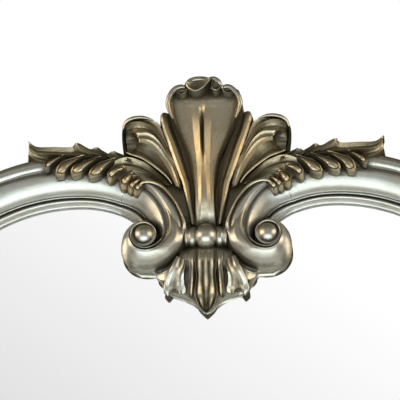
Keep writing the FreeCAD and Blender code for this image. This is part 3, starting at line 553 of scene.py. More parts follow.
def walled(bm, foot, rim):
    """Gives a carved top its walls down to the foot, a bottom and a softened rim."""
    bmesh.ops.remove_doubles(bm, verts=bm.verts, dist=0.02)
    edge_line = [edge for edge in bm.edges if edge.is_boundary]
    for corner in bmesh.ops.extrude_edge_only(bm, edges=edge_line)["geom"]:
        if isinstance(corner, bmesh.types.BMVert):
            corner.co.z = foot
    close_ends(bm)
    if rim:
        eased(bm, [edge for edge in edge_line if edge.is_valid], rim)
    return bm


carving_foot = 13


def add_carving(node_name, bm):
    gilded.append(finished_piece(f"carved_{node_name}", bm, node_name, carving_leaf))


def carved_line(across, up, out):
    """A line of places (x, u, h) from its values across, up the crest and out of it."""
    return list(zip(across, up, out))


# each pair of lines as u up the crest, h out of it, and x on the left and on the right, from the edges in
fan_up = (22.7, 42, 66, 108, 132, 154.5, 176, 188, 205)
fan_pairs = (
    ((22, 42, 66, 108, 132, 154.5, 176, 184, 194), (13.5, 18, 22, 26, 30, 34, 37, 38, 38),
     (-15.5, -15, -15, -21.5, -30, -39.8, -46.5, -48, -48), (14.5, 13, 12.2, 18, 28.2, 38.4, 46, 47.8, 48)),
    ((22.7, 42, 66.4, 108.6, 132.9, 155, 176.4, 186, 198), (15.5, 26, 33, 36, 40, 44, 48, 49, 50),
     (-13.9, -13.3, -13.3, -19.9, -28.5, -38.3, -44.9, -46.2, -45.5),
     (12.8, 11.3, 10.4, 16.4, 26.5, 36.8, 44.3, 46, 45.5)),
    (fan_up, (14.4, 25, 31.8, 32, 33.4, 35.4, 38.4, 40.4, 40),
     (-12.7, -12.2, -12.3, -18, -26, -34.8, -40, -41, -40), (11.4, 10.3, 9.4, 15, 24, 33.2, 39, 41, 40)),
    (fan_up, (14.4, 25.1, 31.8, 32, 33, 34.6, 37.6, 40, 37),
     (-10.5, -10, -9.8, -12.2, -14.9, -17, -19, -20, -20), (8.2, 7.6, 6.8, 7, 7.6, 8.8, 11, 13.5, 14.5)),
    (fan_up, (15.2, 26.6, 34.2, 35, 36.6, 38, 39.2, 40.6, 37),
     (-6.8, -6, -5.4, -5.8, -6.6, -7.2, -8, -11, -11), (2.6, 2.2, 1.2, 0.4, -0.8, -0.8, 0, 2, 2)),
)
parting = carved_line(
    (-2.2, -2.2, -2.4, -2.8, -3.6, -3.8, -4, -4, -4), fan_up, (15, 26.4, 33.8, 33, 32, 32.4, 36.6, 40.2, 36))
left_lines = [carved_line(left, up, out) for up, out, left, _ in fan_pairs]
right_lines = [carved_line(right, up, out) for up, out, _, right in reversed(fan_pairs)]
crest_lean = Matrix(((1, -0.008, 0, 0), (0, 1, 0, 0), (0, 0, 1, 0), (0, 0, 0, 1)))
fan = carved_leaf(left_lines + [parting] + right_lines, carving_foot, scoop=1, along=96, rim=0)
bmesh.ops.transform(fan, matrix=crest_lean, verts=fan.verts)
add_carving("shell_centre", fan)

# The shell's flutes
# A narrow scooped leaf on each side of the fan, with a thin rolled rim.
flute_up = (174, 167, 151, 131, 104.5, 87.5, 71.8, 22.5)
flute_lines = [carved_line(across, up, out) for across, up, out in (
    ((-58.5, -61.5, -59, -52, -42.5, -36, -31, -20.5), (174, 167, 151, 131, 104, 86.5, 71, 22),
     (20, 20, 19, 18, 17, 17, 17, 14)),
    ((-57.5, -60.2, -57.4, -50.1, -40.8, -34.6, -29.4, -19.6), flute_up,
     (34.5, 35.6, 35, 33.6, 32.2, 31.2, 30.4, 22.6)),
    ((-55.5, -57, -53.6, -46.4, -37.4, -31.4, -26.6, -18.4), flute_up,
     (36, 37.2, 36.8, 35.4, 33.8, 32.6, 31.6, 24)),
    ((-52.5, -52.4, -48.4, -41.2, -32.6, -27.2, -23.2, -17), flute_up,
     (34.6, 35.4, 34.6, 33.4, 32.2, 31.4, 31, 23.6)),
    ((-49.5, -47.6, -42.8, -35.4, -27.6, -23, -19.6, -15.4), flute_up,
     (31, 30, 27.5, 26, 25.5, 25.5, 26, 20.5)),
    ((-46.5, -42, -37, -28.5, -21, -17, -15, -14), (175.5, 170, 153, 132.5, 108, 88, 72, 22.5),
     (31, 28, 25.5, 24, 23, 23, 23, 17)),
)]
for side, turned in both_sides:
    flute = carved_leaf(flute_lines, carving_foot, scoop=0.9, along=72, rim=0.4)
    add_carving(f"shell_flute_{side}", turned(flute))


# The rolled lip of the shell
# Four curls where the lip turns forward and ends, each a dished face in a thin rim on a
# rounded barrel, and the bead that runs up each side of the fan into them.
def turned_knob(rim_line, profile, foot, round_count=48):
    """A knob whose rim follows a closed line of (x, u, h). Its profile is (share of the rim, lift, shift)."""
    bm = bmesh.new()
    middle = [sum(spot[k] for spot in rim_line) / len(rim_line) for k in range(3)]
    last = len(profile) - 1

    def place(side, inward):
        share, lift, shift = profile[round(inward * last)]
        spot = side % 1.0 * len(rim_line)
        near = [rim_line[(int(spot) + step) % len(rim_line)] for step in (-1, 0, 1, 2)]
        x, u, h = (m + (v - m) * share for m, v in zip(middle, smooth_between(near, spot - int(spot))))
        return x, u + shift, h + lift if lift > to_foot else foot

    stretched_grid(bm, round_count, last, place)
    return closed_up(bm, 0.02)


def bead_along(line, radii, count=40, round_count=12):
    """A round bead through (x, u, h) places, its radius from the radii."""
    bm = bmesh.new()

    def place(side, along):
        ahead = Vector(smooth_place(line, min(along + 0.01, 1)))
        behind = Vector(smooth_place(line, max(along - 0.01, 0)))
        across = (ahead - behind).cross(Vector((0, 0, 1))).normalized()
        out = (ahead - behind).cross(across).normalized()
        radius = smooth_value(radii, along)
        angle = side * math.tau
        here = Vector(smooth_place(line, along))
        return here + across * math.cos(angle) * radius + out * math.sin(angle) * radius

    stretched_grid(bm, round_count, count, place)
    return closed_up(bm, 0.01)


def add_to(bm, other):
    """Adds one modelled form to another and frees it."""
    carried = bpy.data.meshes.new("carried")
    other.to_mesh(carried)
    other.free()
    bm.from_mesh(carried)
    bpy.data.meshes.remove(carried)
    return bm


to_foot = -99
dished = [
    (0.0, -4.4, 0), (0.35, -4.1, 0), (0.62, -3.2, 0), (0.8, -1.7, 0), (0.9, -0.2, 0), (0.98, 0.9, 0),
    (1.06, 0.4, 0), (1.13, -1.2, 0), (1.17, -4, 0), (1.17, -9, -1), (1.1, -15, -3), (0.98, -22, -5),
    (0.9, to_foot, -8),
]
lip_radii = (1.0, 2.4, 3.0, 3.2, 3.4, 3.4, 3.2, 2.4)
# each curl's node, the rim of its face, and the bead that runs into it with the bead's radii
curls = (
    ("shell_roll_middle_left",
     [(-23, 207.5, 55), (-20, 201, 55), (-11, 196.5, 56), (-1.5, 201, 57), (6.5, 210, 57), (7.5, 213.5, 56),
      (-1.5, 214.5, 54), (-10.5, 213.5, 53), (-19.5, 211, 54)],
     [(-25, 206, 48), (-19, 212, 50.5), (-10, 214.4, 51), (0, 214.6, 50.5), (8, 213.6, 50)],
     (2, 3, 3.4, 3.2, 2)),
    ("shell_roll_middle_right",
     [(10.5, 208, 55), (11, 200, 55), (15, 197.5, 55), (19.5, 199.5, 54), (22, 204, 53), (19.5, 209, 53),
      (13.5, 212.5, 54)],
     [(7, 215, 50), (13, 214, 52), (19, 210, 52), (23, 204, 50)], (2, 3.2, 3.2, 2)),
    ("shell_roll_outer_left",
     [(-37.5, 197.5, 52), (-31, 193.5, 52), (-25, 195.5, 53), (-23.5, 200.5, 53), (-29, 202, 52),
      (-35, 201, 52)],
     [(-41.5, 162, 44), (-46, 172, 46), (-48, 182, 48), (-46.5, 189, 50), (-43, 196, 51), (-37.5, 201.5, 51.5),
      (-30.5, 204, 51), (-25, 203, 51)], lip_radii),
    ("shell_roll_outer_right",
     [(25, 201, 53), (26, 196, 53), (33, 194, 53), (39, 196.5, 52), (39, 200.5, 52), (31, 202, 52)],
     [(40.5, 162, 44), (45, 172, 46), (47.3, 181, 48), (45.5, 189, 50), (41, 196, 51), (35, 201.5, 51.5),
      (29.5, 203.3, 51), (24.5, 202, 51)], lip_radii),
)
for node_name, rim_line, bead_line, radii in curls:
    roll = add_to(turned_knob(rim_line, dished, 16), bead_along(bead_line, radii))
    bmesh.ops.transform(roll, matrix=crest_lean, verts=roll.verts)
    add_carving(node_name, roll)

# The side leaves
# A broad ribbed leaf beside each flute. Its ribs fan out from the root, its upper corner
# curls forward, and its lower edge is a thin raised rim.
side_leaf_lines = [
    [(-32.5, 73, 20), (-38, 100.5, 22), (-46, 121.5, 24), (-53.5, 138, 26), (-57.5, 150.5, 28), (-63, 161, 30),
     (-70.5, 165, 32), (-80, 166, 33), (-88, 166.5, 33), (-99, 164.5, 31)],
    [(-32.5, 73, 25), (-38, 100.5, 28), (-46, 120.5, 31), (-53.5, 136, 34), (-58, 148.5, 37),
     (-63.5, 158.5, 40), (-70.5, 162.5, 42), (-80, 163.5, 43), (-88, 164.3, 42), (-99, 162.8, 40)],
    [(-32.8, 72.5, 25.6), (-39, 101, 27.9), (-47.7, 120.5, 30.7), (-55.5, 135, 33.5), (-61, 147, 36.3),
     (-67.5, 155.5, 38.5), (-76, 160, 40.2), (-86, 161, 38.5), (-94, 161.8, 37.4), (-104, 160.5, 36.3)],
    [(-33, 72, 26), (-40, 101.5, 30), (-49.5, 120.5, 34), (-57.5, 134.5, 38), (-64.5, 145, 42),
     (-72, 152.5, 45), (-80, 156.5, 46), (-88, 158.5, 46), (-97, 158.5, 44), (-106, 156.5, 38)],
    [(-33.5, 72, 26.8), (-41, 101, 29.6), (-51.5, 120.5, 32.4), (-60, 133, 35.2), (-68, 144, 37.4),
     (-76, 150, 38.5), (-84, 152, 39.1), (-90, 152.5, 38.5), (-96, 152.5, 36.3), (-105, 152, 31.8)],
    [(-34, 72, 26), (-43, 99.5, 30), (-53, 119.5, 34), (-60, 131.5, 37.5), (-68, 139.5, 40.5),
     (-76.5, 143.5, 42.5), (-85, 143.5, 43), (-92, 144, 42.5), (-97.5, 145, 39), (-106, 146, 30)],
    [(-34.5, 72.5, 26.8), (-44, 99, 30.1), (-54, 118.5, 33.5), (-61.5, 130, 36.3), (-69.5, 137.5, 39.1),
     (-78, 140, 40.8), (-86, 140, 41.3), (-90.5, 140, 39.6), (-93, 140, 31.8), (-106, 140, 28.4)],
    [(-35, 72.5, 27), (-44.5, 100.5, 31.5), (-54.5, 116.5, 35), (-62.5, 126.5, 38), (-70.5, 132.5, 40.5),
     (-78.5, 135, 42.5), (-86, 135.5, 43), (-88.5, 136, 40), (-92, 136, 27), (-105.5, 136, 25)],
    [(-37.5, 74, 26.8), (-47, 100.5, 30.1), (-57, 115, 33.5), (-65.5, 124.5, 36.8), (-72.5, 130.5, 39.6),
     (-80, 133, 41.9), (-86.5, 133.5, 42.4), (-88.5, 133.5, 39.6), (-92, 133.5, 27.3), (-105, 133, 25.1)],
    [(-39.5, 74.5, 26.5), (-49.5, 95.5, 30), (-59, 110.5, 33.5), (-67, 121, 36.5), (-74, 127, 39),
     (-81, 130, 41), (-86.5, 131, 41.5), (-88.5, 131, 38), (-92, 130, 25), (-104.5, 128, 23)],
    [(-42.5, 76.5, 22.5), (-54.5, 93, 24.5), (-65, 105, 26.5), (-74, 114, 28), (-83, 120.5, 29.5),
     (-89, 123, 29), (-93, 124, 26), (-96, 124, 24), (-99, 124, 23), (-104, 123.5, 22)],
    [(-44, 78, 25), (-51.5, 87, 28), (-61.5, 96, 30.5), (-72, 103.5, 32.5), (-83, 110.5, 34),
     (-90, 113.2, 34.5), (-96, 115, 35), (-100, 115.8, 35), (-103, 117, 34.5), (-104.8, 118.5, 33)],
    [(-45, 77.5, 18), (-53, 86, 19), (-63.5, 94.5, 20), (-73.5, 102, 21), (-84, 108.5, 22), (-90, 110.7, 22),
     (-96, 112, 22), (-101, 113, 22), (-104.5, 114.5, 22), (-106, 117, 22)],
]
outer_wall_lines = [
    [(-103, 162, 30), (-110.5, 155, 26), (-111.5, 143, 24), (-110.5, 130, 22), (-108.8, 117, 20)],
    [(-102.5, 161, 42), (-109.2, 154, 38), (-110.3, 143, 36), (-109.3, 130, 35), (-107.8, 117.5, 33.5)],
    [(-98, 158, 36), (-104.5, 152, 27), (-105.8, 143, 23), (-105.1, 130, 22), (-104, 118.5, 25)],
]
curl_tip = [
    (-109, 151, 38), (-107, 157, 41), (-101, 161.5, 44), (-92, 163.8, 46), (-81, 164, 45.5), (-70, 161.5, 42),
]
lower_rim = [
    (-45, 77.5, 28), (-52, 86.5, 31.5), (-62, 95.6, 34.5), (-72.5, 103.3, 37), (-83, 110, 38.5),
    (-90, 112.8, 39), (-97, 115, 39), (-104, 118.5, 37),
]
for side, turned in both_sides:
    leaf = carved_leaf(side_leaf_lines, carving_foot, scoop=1.2, across=7, along=72, rim=0.4)
    add_to(leaf, carved_leaf(outer_wall_lines, carving_foot, across=5, along=36, rim=0.3))
    add_to(leaf, bead_along(lower_rim, (0.8, 1.5, 1.9, 2.0, 2.0, 1.9, 1.7, 1.2), 60, 12))
    add_to(leaf, bead_along(curl_tip, (1.0, 1.9, 2.4, 2.4, 2.1, 1.2)))
    add_carving(f"side_leaf_{side}", turned(leaf))

# The lower leaves
# A leaf that sweeps along the top of each scroll and ends in four curled fingers, which
# hang over the rail's ovolo.
lower_leaf_lines = [
    [(-45, 77.5, 17), (-56, 86.5, 22), (-67.5, 96.5, 26), (-78, 104.5, 29), (-89, 109.5, 31), (-99.5, 112, 33),
     (-109.5, 111.5, 34), (-119, 109, 34)],
    [(-45, 77.5, 23), (-56, 86, 29), (-67.5, 95.5, 33), (-78, 103.5, 36), (-89, 108, 38.5), (-99.5, 110.5, 41),
     (-109.5, 109.5, 42), (-119, 106, 41)],
    [(-48.5, 78, 21.5), (-60, 85, 25.5), (-71.5, 92.5, 28.5), (-82, 98.5, 31.5), (-93, 102, 34),
     (-103, 103.2, 36.5), (-112.5, 102.5, 38), (-121, 99.5, 38)],
    [(-54.5, 78, 24.5), (-61, 82.5, 28), (-69, 88, 32), (-76.5, 91.5, 35.5), (-86, 94.5, 39), (-97, 97, 42),
     (-108.5, 97.5, 44), (-121, 94, 44)],
    [(-56, 78, 22.5), (-63.5, 81.5, 25), (-72, 85.5, 28), (-79.5, 88.5, 31), (-88, 90.5, 34),
     (-99, 91.5, 36.5), (-110, 91, 39), (-121, 86, 40)],
    [(-57, 77, 24), (-65, 80, 27), (-73, 83.5, 30.5), (-80, 85.5, 34), (-87, 86.5, 37), (-96, 86, 40),
     (-106, 83, 41.5), (-112, 79, 41)],
    [(-58, 76.5, 21), (-66, 78, 24), (-74, 80.5, 27), (-81, 82, 30), (-87, 82, 33), (-93, 80, 35.5),
     (-99, 76.5, 37), (-104, 73, 37)],
    [(-59, 75.5, 22), (-67, 77, 26), (-75, 78.5, 30), (-81, 79, 33), (-86, 78, 35.5), (-90, 75.5, 37.5),
     (-94, 72.5, 38.5), (-98, 69.5, 38)],
    [(-60, 74, 20), (-67, 75, 22), (-74, 75.5, 25), (-79, 75.5, 27), (-83, 74.5, 29), (-87, 72, 31),
     (-90, 70, 32), (-93, 68, 32)],
]
finger_rims = (
    [(-107, 97.5, 44), (-118, 95.6, 46), (-125.5, 90.6, 47), (-127.5, 85, 47), (-123.5, 81.5, 46),
     (-116, 86, 45), (-107, 93, 44)],
    [(-96, 89.5, 40), (-105, 85.5, 43), (-111, 79, 44), (-109.5, 73, 44), (-103.5, 72.5, 43), (-98, 78, 41)],
    [(-84, 84, 37), (-91, 81, 40), (-98, 76, 42), (-101, 71, 42), (-97, 67.5, 42), (-91.5, 71, 40),
     (-86, 77, 38)],
    [(-80, 78.5, 36), (-86, 77, 38), (-92, 73, 40), (-93.5, 67.5, 40), (-89, 65, 39), (-84, 69, 38),
     (-79.5, 74, 36)],
)
cupped = [
    (0.0, 3.4, 0), (0.2, 3.2, 0), (0.4, 2.6, 0), (0.58, 1.5, 0), (0.74, 0.2, 0), (0.86, -0.8, 0),
    (0.93, 0.2, 0), (1.0, 0.8, 0), (1.06, 0.1, 0), (1.12, -1.8, -0.6), (1.2, -4.5, -2.4), (1.22, -8, -4.8),
    (1.14, -12, -6.5), (0.96, to_foot, -7),
]
for side, turned in both_sides:
    leaf = carved_leaf(lower_leaf_lines, carving_foot, scoop=1.5, across=7, along=52, rim=0.5)
    for rim_line in finger_rims:
        add_to(leaf, turned_knob(rim_line, cupped, 24, 36))
    add_carving(f"lower_leaf_{side}", turned(leaf))

# The scrolls and their eyes
# A thick C-scroll on each side runs down from the lower leaf, turns outward under the
# rail's end and closes round a polished eye. Its upper part is scooped behind a thin rim.
scroll_outer = [
    (-91, 72, 30), (-81, 78, 34), (-68, 77.5, 33), (-54.1, 70, 32), (-39.5, 52.5, 30), (-30.8, 34, 28),
    (-26.1, 19.6, 26), (-25.9, 6.9, 24), (-29, -6, 22), (-35.5, -17, 18), (-43.5, -27, 15.5), (-56, -34.5, 14),
    (-70, -39, 14), (-85, -39, 14), (-98, -34, 14), (-107, -25, 14), (-111.5, -14, 14), (-111.5, -0.5, 15),
    (-108, 12, 17), (-99.5, 22, 20), (-88, 27, 24), (-78, 26, 26), (-70, 21.5, 27), (-65.5, 14, 27),
]
scroll_inner = [
    (-84, 70, 27), (-79, 70, 26), (-71, 63, 26), (-62, 52.5, 27), (-55, 40, 28), (-51.8, 30, 28),
    (-50.8, 20, 28), (-51.2, 10, 28), (-53.8, 0.5, 28), (-58.5, -7.5, 28), (-64.5, -13.5, 28),
    (-71.5, -16.5, 28), (-79, -17.5, 28), (-86.5, -16, 28), (-92.5, -12.5, 28), (-97, -6.5, 28),
    (-99.5, 1, 28), (-99, 7.5, 28), (-96.3, 14, 28), (-91.5, 18.6, 28), (-85, 21, 28), (-79, 20.5, 28),
    (-73.5, 18, 28), (-69.5, 13.5, 28),
]
# lift of the scroll's face at six places from the outer to the inner edge, for each row
scooped_top = (9, 10, -2, 0.6, 4, 1)
full_belly = (0, 5.6, 10.7, 14.5, 16.3, 15.5)
scroll_rows = [
    (2, 3, 0, 0, 1, 1), (6, 7, -1, -1, 2, 1), (8, 9, -1.5, 0, 3, 1), scooped_top, (9, 10, -2, 2.4, 5.5, 1),
    (8.5, 9.5, 0.5, 5, 7, 1.5), (7, 9, 4, 9, 9, 2.5), (5, 8.5, 9.5, 12, 10.5, 5), (2.5, 8.5, 12, 14, 13, 9),
    (0.5, 8, 13, 15.5, 15.2, 12.5), (0, 6.5, 12, 15, 16.2, 14.6), full_belly, full_belly, full_belly,
    full_belly, full_belly, (0, 5.6, 10.5, 14, 15.6, 14.2), (0, 5.4, 10, 13, 14, 12.8),
    (0, 5, 9, 11.5, 12.5, 11.4), (0, 4.5, 8, 10, 11, 10.2), (0, 4, 7, 9, 10, 9.6), (0, 3.4, 6, 7.8, 9, 8.8),
    (0, 2.6, 4.8, 6.6, 7.6, 7.8), (0, 1.5, 3, 4.4, 5.4, 6),
]
scroll_shares = (0, 0.1, 0.27, 0.5, 0.8, 1)


def carved_scroll():
    bm = bmesh.new()

    def place(side, along):
        x1, u1, h1 = smooth_place(scroll_outer, along)
        x2, u2, h2 = smooth_place(scroll_inner, along)
        k = max(n for n in range(5) if scroll_shares[n] <= side + 1e-6)
        t = (k + (side - scroll_shares[k]) / (scroll_shares[k + 1] - scroll_shares[k])) / 5
        lift = smooth_value(smooth_place(scroll_rows, along), t)
        return x1 + (x2 - x1) * side, u1 + (u2 - u1) * side, h1 + (h2 - h1) * side + lift

    stretched_grid(bm, 30, 200, place)
    return walled(bm, 12, 0.4)


ring_line = [
    (-65, 6.5, 36), (-67.5, 14.5, 37), (-74.5, 20.2, 38), (-81.5, 21.5, 38.5), (-90, 19, 38.5),
    (-96, 13, 38.5), (-98, 5, 39), (-96.5, -3, 39.5), (-91, -9.8, 40), (-82, -13.6, 40), (-73, -12.6, 39.5),
    (-63.5, -7.5, 38.5), (-57, 0, 37),
]
rim_line_of_scroll = [
    (-90, 69, 36), (-82, 75.5, 41), (-69, 75.5, 41), (-55, 68, 40), (-40.5, 51, 38), (-31.8, 33, 36),
    (-27.4, 19.6, 33.5), (-27, 8, 30), (-29, -3, 26),
]
eye_middle = Vector((-81.3, 7, 28))
eye_radius = 15.3
saucer_height = 25.4
for side, turned in both_sides:
    scroll = carved_scroll()
    add_to(scroll, bead_along(rim_line_of_scroll, (0.8, 1.9, 2.1, 1.9, 1.6, 1.4, 1.3, 1.0, 0.5), 70, 10))
    add_to(scroll, bead_along(ring_line, (0.5, 1.1, 1.3, 1.3, 1.3, 1.3, 1.3, 1.2, 1.1, 0.9, 0.6), 90, 10))
    add_carving(f"scroll_{side}", turned(scroll))
    eye = bmesh.new()
    bmesh.ops.create_uvsphere(eye, u_segments=48, v_segments=28, radius=eye_radius)
    bmesh.ops.translate(eye, vec=eye_middle, verts=eye.verts)
    saucer = bmesh.new()
    bmesh.ops.create_cone(saucer, cap_ends=True, segments=64, radius1=17.5, radius2=16.6, depth=18)
    bmesh.ops.translate(saucer, vec=(eye_middle.x, eye_middle.y, saucer_height), verts=saucer.verts)
    add_carving(f"scroll_eye_{side}", turned(add_to(eye, saucer)))

# The centre boss and its collars
# A polished half ball between the scrolls, held between two small turned collars.
boss_radius = 16.2
boss_up, boss_out = 5, 27
collar_from, collar_out, collar_flattened = 13.5, 24, 0.9
boss = bmesh.new()
bmesh.ops.create_uvsphere(boss, u_segments=56, v_segments=32, radius=boss_radius)
bmesh.ops.translate(boss, vec=(0, boss_up, boss_out), verts=boss.verts)
add_carving("centre_boss", boss)
# how far out from the boss, and the radius there
collar_profile = [(0, 12), (3, 13.6), (7, 13), (9, 11.3), (10, 11.5), (12, 12.4), (14, 11), (15.5, 6)]


def collar_place(round_share, along):
    reach, radius = smooth_place(collar_profile, along)
    angle = round_share * math.tau
    up, out = radius * math.cos(angle), radius * math.sin(angle) * collar_flattened
    return -collar_from - reach, boss_up + up, collar_out + out


for side, turned in both_sides:
    collar = bmesh.new()
    stretched_grid(collar, 40, 28, collar_place)
    add_carving(f"collar_{side}", turned(closed_up(collar, 0.01)))


# The pendant
# Seven leaves hang under the boss: a pointed middle one, two thin inner ones, two that
# end in a double lobe, and two small curls.
def raised_lines(heights, *rows):
    """Lines over one run of heights. Each row is its lift, then its places (x, u)."""
    return [[(x, u, h + lift) for (x, u), h in zip(spots, heights)] for lift, *spots in rows]


edge_line, = raised_lines(
    (27, 31, 31.5, 30.2, 27.6, 25.2, 23.1, 21.1, 17.8, 14.1, 12.6),
    (0, (-14, -14), (-14, -24.5), (-14.5, -31.5), (-14.5, -38), (-13, -45), (-13.5, -53.5), (-15, -62.5),
     (-16, -71), (-14, -77.5), (-10, -86), (-1.5, -95)))
outer_ridge, inner_ridge, middle_ridge = raised_lines(
    (29.7, 33.7, 34.2, 32.9, 30.3, 27.9, 25.8, 23.8, 20.5, 16.8, 13.6),
    (0, (-12.5, -15), (-13, -25.5), (-13.5, -32.5), (-13.5, -39), (-12, -45.5), (-12.5, -54), (-14, -63.5),
     (-15, -72), (-13, -78), (-8.5, -87), (-0.5, -96)),
    (0.3, (-9, -15), (-8.5, -26), (-8.5, -33), (-8.5, -39), (-8.5, -46), (-8.5, -54.5), (-9, -63.5),
     (-9, -72.5), (-8, -78.5), (-5, -87), (-0.5, -96)),
    (0.6, (0, -15), (0, -26), (0, -33), (0, -39.5), (0, -46), (-0.5, -54.5), (-0.5, -64), (-0.5, -72.5),
     (0, -78.5), (0, -87.5), (0, -96)))
outer_groove, inner_groove = raised_lines(
    (26.9, 30.9, 31.4, 30.1, 27.5, 25.1, 23, 21, 17.7, 14, 12.1),
    (0, (-11, -14.5), (-11.5, -25), (-11.5, -32), (-11.5, -38.5), (-10.5, -45.5), (-11, -53.5), (-12, -63),
     (-12.5, -71.5), (-11, -77.5), (-7.5, -86.5), (-0.5, -95.5)),
    (-0.6, (-4, -14), (-4, -25), (-4, -32), (-4, -38.5), (-4, -45), (-4.5, -53.5), (-4, -63), (-3, -71.5),
     (-3, -77.5), (-1.5, -86.5), (-0.5, -95)))
half_centre = [edge_line, outer_ridge, outer_groove, inner_ridge, inner_groove]
other_half = [[(-x, u, h) for x, u, h in line] for line in reversed(half_centre)]
inner_leaf_lines = raised_lines(
    (25, 28, 28.5, 27, 23, 19.5, 18, 16, 13),
    (0, (-23.5, -16), (-23.5, -23.5), (-23, -30.5), (-22.5, -37), (-23.5, -44), (-24, -52.5), (-24.5, -61.5),
     (-25, -69), (-23, -74)),
    (3, (-22.5, -17), (-22.5, -24.5), (-22, -31.5), (-21.5, -38), (-22.5, -45), (-23, -53.5), (-23.5, -62.5),
     (-24, -70), (-22, -75)),
    (1.2, (-20, -16.5), (-19.5, -24), (-19.5, -31), (-19, -37.5), (-20, -44.5), (-20.5, -52.5), (-21, -62),
     (-21.5, -69.5), (-21, -74.5)),
    (3.3, (-16.5, -17), (-16.5, -25), (-16.5, -32), (-16.5, -38), (-17, -45), (-17.5, -53.5), (-18, -62.5),
     (-18.5, -70), (-20, -75.5)),
    (0, (-13.5, -16), (-13.5, -24), (-14, -31), (-14, -37), (-14, -44), (-14.5, -52.5), (-15.5, -61.5),
     (-16, -69), (-18.5, -74)))
outer_leaf_lines = raised_lines(
    (27, 28.5, 22.5, 17.5, 15, 12.5),
    (0, (-38.5, -21.5), (-45, -35.5), (-52.5, -48.5), (-55, -58), (-56, -65.5), (-53.5, -69.5)),
    (2.7, (-37.5, -22.5), (-44, -36.5), (-51.5, -49.5), (-54, -59), (-55, -66), (-52.5, -70.5)),
    (3.6, (-34.5, -24.5), (-40, -38.5), (-46, -50), (-49, -59), (-49.5, -66.5), (-49.5, -71.5)),
    (1, (-32.5, -25), (-36, -39), (-41, -50.5), (-42.5, -57), (-42.5, -62), (-41.5, -63.5)),
    (3.6, (-29.5, -27), (-32, -40), (-36, -51.5), (-38, -59.5), (-36.5, -65.5), (-35, -69.5)),
    (1.4, (-27, -28), (-29.5, -39), (-32.5, -51), (-32.5, -59), (-31.5, -65), (-31.5, -69.5)),
    (3, (-24, -29.5), (-27.5, -39.5), (-29, -48.5), (-28.5, -58), (-26.5, -64), (-27.5, -68)),
    (-1, (-23.5, -28.5), (-26.5, -38.5), (-28.5, -47.5), (-28, -56.5), (-25.5, -63), (-27, -67)))
curl_leaf_lines = raised_lines(
    (24, 22, 19, 16, 13.5),
    (0, (-38.5, -20), (-46.5, -30.5), (-54.5, -38.5), (-61, -41), (-65.5, -40.5)),
    (3, (-37.5, -21.5), (-45.5, -32.5), (-53.5, -40.5), (-60, -42.5), (-65, -42)),
    (1.2, (-38.5, -25), (-46, -36.5), (-55, -45), (-60, -47.5), (-64.5, -46)),
    (3, (-39.5, -30), (-47, -43), (-52, -50.5), (-56, -52.5), (-61, -50.5)),
    (0, (-39.5, -30), (-46.5, -43), (-52, -50.5), (-56, -52.5), (-60.5, -50.5)))
neck_profile = (
    (0.8, -7.5, 24), (0.9, -14.5, 29), (0.97, -22.5, 32), (1, -29.5, 32), (1, -35.5, 27), (1, -39.5, 19),
)
neck_lines = [
    [(x * widening, u, max(14, h - 0.005 * x * x)) for widening, u, h in neck_profile]
    for x in (-37, -30, -22, -11, 0, 11, 22, 30, 37)
]
middle_leaf = carved_leaf(
    half_centre + [middle_ridge] + other_half, 12.5, scoop=0.95, across=6, along=72, rim=0.3, round_ends=True)
add_to(middle_leaf, carved_leaf(neck_lines, carving_foot, scoop=1, across=4, along=28, rim=0))
add_carving("pendant_centre", middle_leaf)
for side, turned in both_sides:
    inner = carved_leaf(inner_leaf_lines, 12.5, scoop=1, across=5, along=48, rim=0.3, round_ends=True)
    add_carving(f"pendant_inner_{side}", turned(inner))
    outer = carved_leaf(outer_leaf_lines, 11.5, scoop=1, across=6, along=48, rim=0.3, round_ends=True)
    add_carving(f"pendant_outer_{side}", turned(outer))
    curl = carved_leaf(curl_leaf_lines, carving_foot, across=5, along=40, rim=0.3, round_ends=True)
    add_carving(f"pendant_curl_{side}", turned(curl))

# The leaf sprays
# An acanthus spray lies along each hump of the frame. Its stem has short flaps above,
# a long upturned tip, and four rounded lobes that overlap below it.
stem = (-98, -121, -130, -143, -152, -169, -177, -200)
spray_lines = [carved_line(stem + tip, up, out) for tip, up, out in (
    ((-222, -234), (113, 122, 118.5, 128, 125, 134, 128, 128, 128, 135),
     (28, 31, 32, 32, 32, 33, 33, 35, 36, 38)),
    ((-222, -233), (111, 120.5, 117, 126.5, 123.5, 132.5, 126.5, 126.5, 126.5, 133.5),
     (36, 37.5, 39, 39, 40, 40, 41, 42, 44, 47)),
    ((-222, -232.5), (108.5, 113.5, 112.5, 118, 117.5, 122.5, 120.5, 121.5, 123, 130),
     (35, 35, 35.5, 35.5, 36, 36, 36.5, 37.5, 40, 45)),
    ((-222, -232), (106, 109, 110, 111.5, 112.5, 114.5, 115, 116, 117.5, 126.5),
     (39, 41, 41.5, 42, 42.5, 43, 43, 43.5, 45.5, 48)),
    ((-222, -232.5), (103, 104.5, 105.2, 106.5, 107.5, 109.5, 110, 111, 113.5, 121.5),
     (33, 33.5, 33.5, 34, 34, 34, 34, 35, 40, 43.5)),
    ((-221, -233.5), (100, 101, 101.5, 102.5, 103, 104.5, 105, 106.5, 109.5, 117),
     (34, 35, 35.5, 36, 36, 36.5, 36.5, 38, 41.5, 41)),
    ((-220, -235), (97, 98, 98.5, 99.5, 100, 101, 102, 103.5, 106, 112),
     (28, 30, 30, 31, 31, 31, 31, 31, 30, 28)),
)]
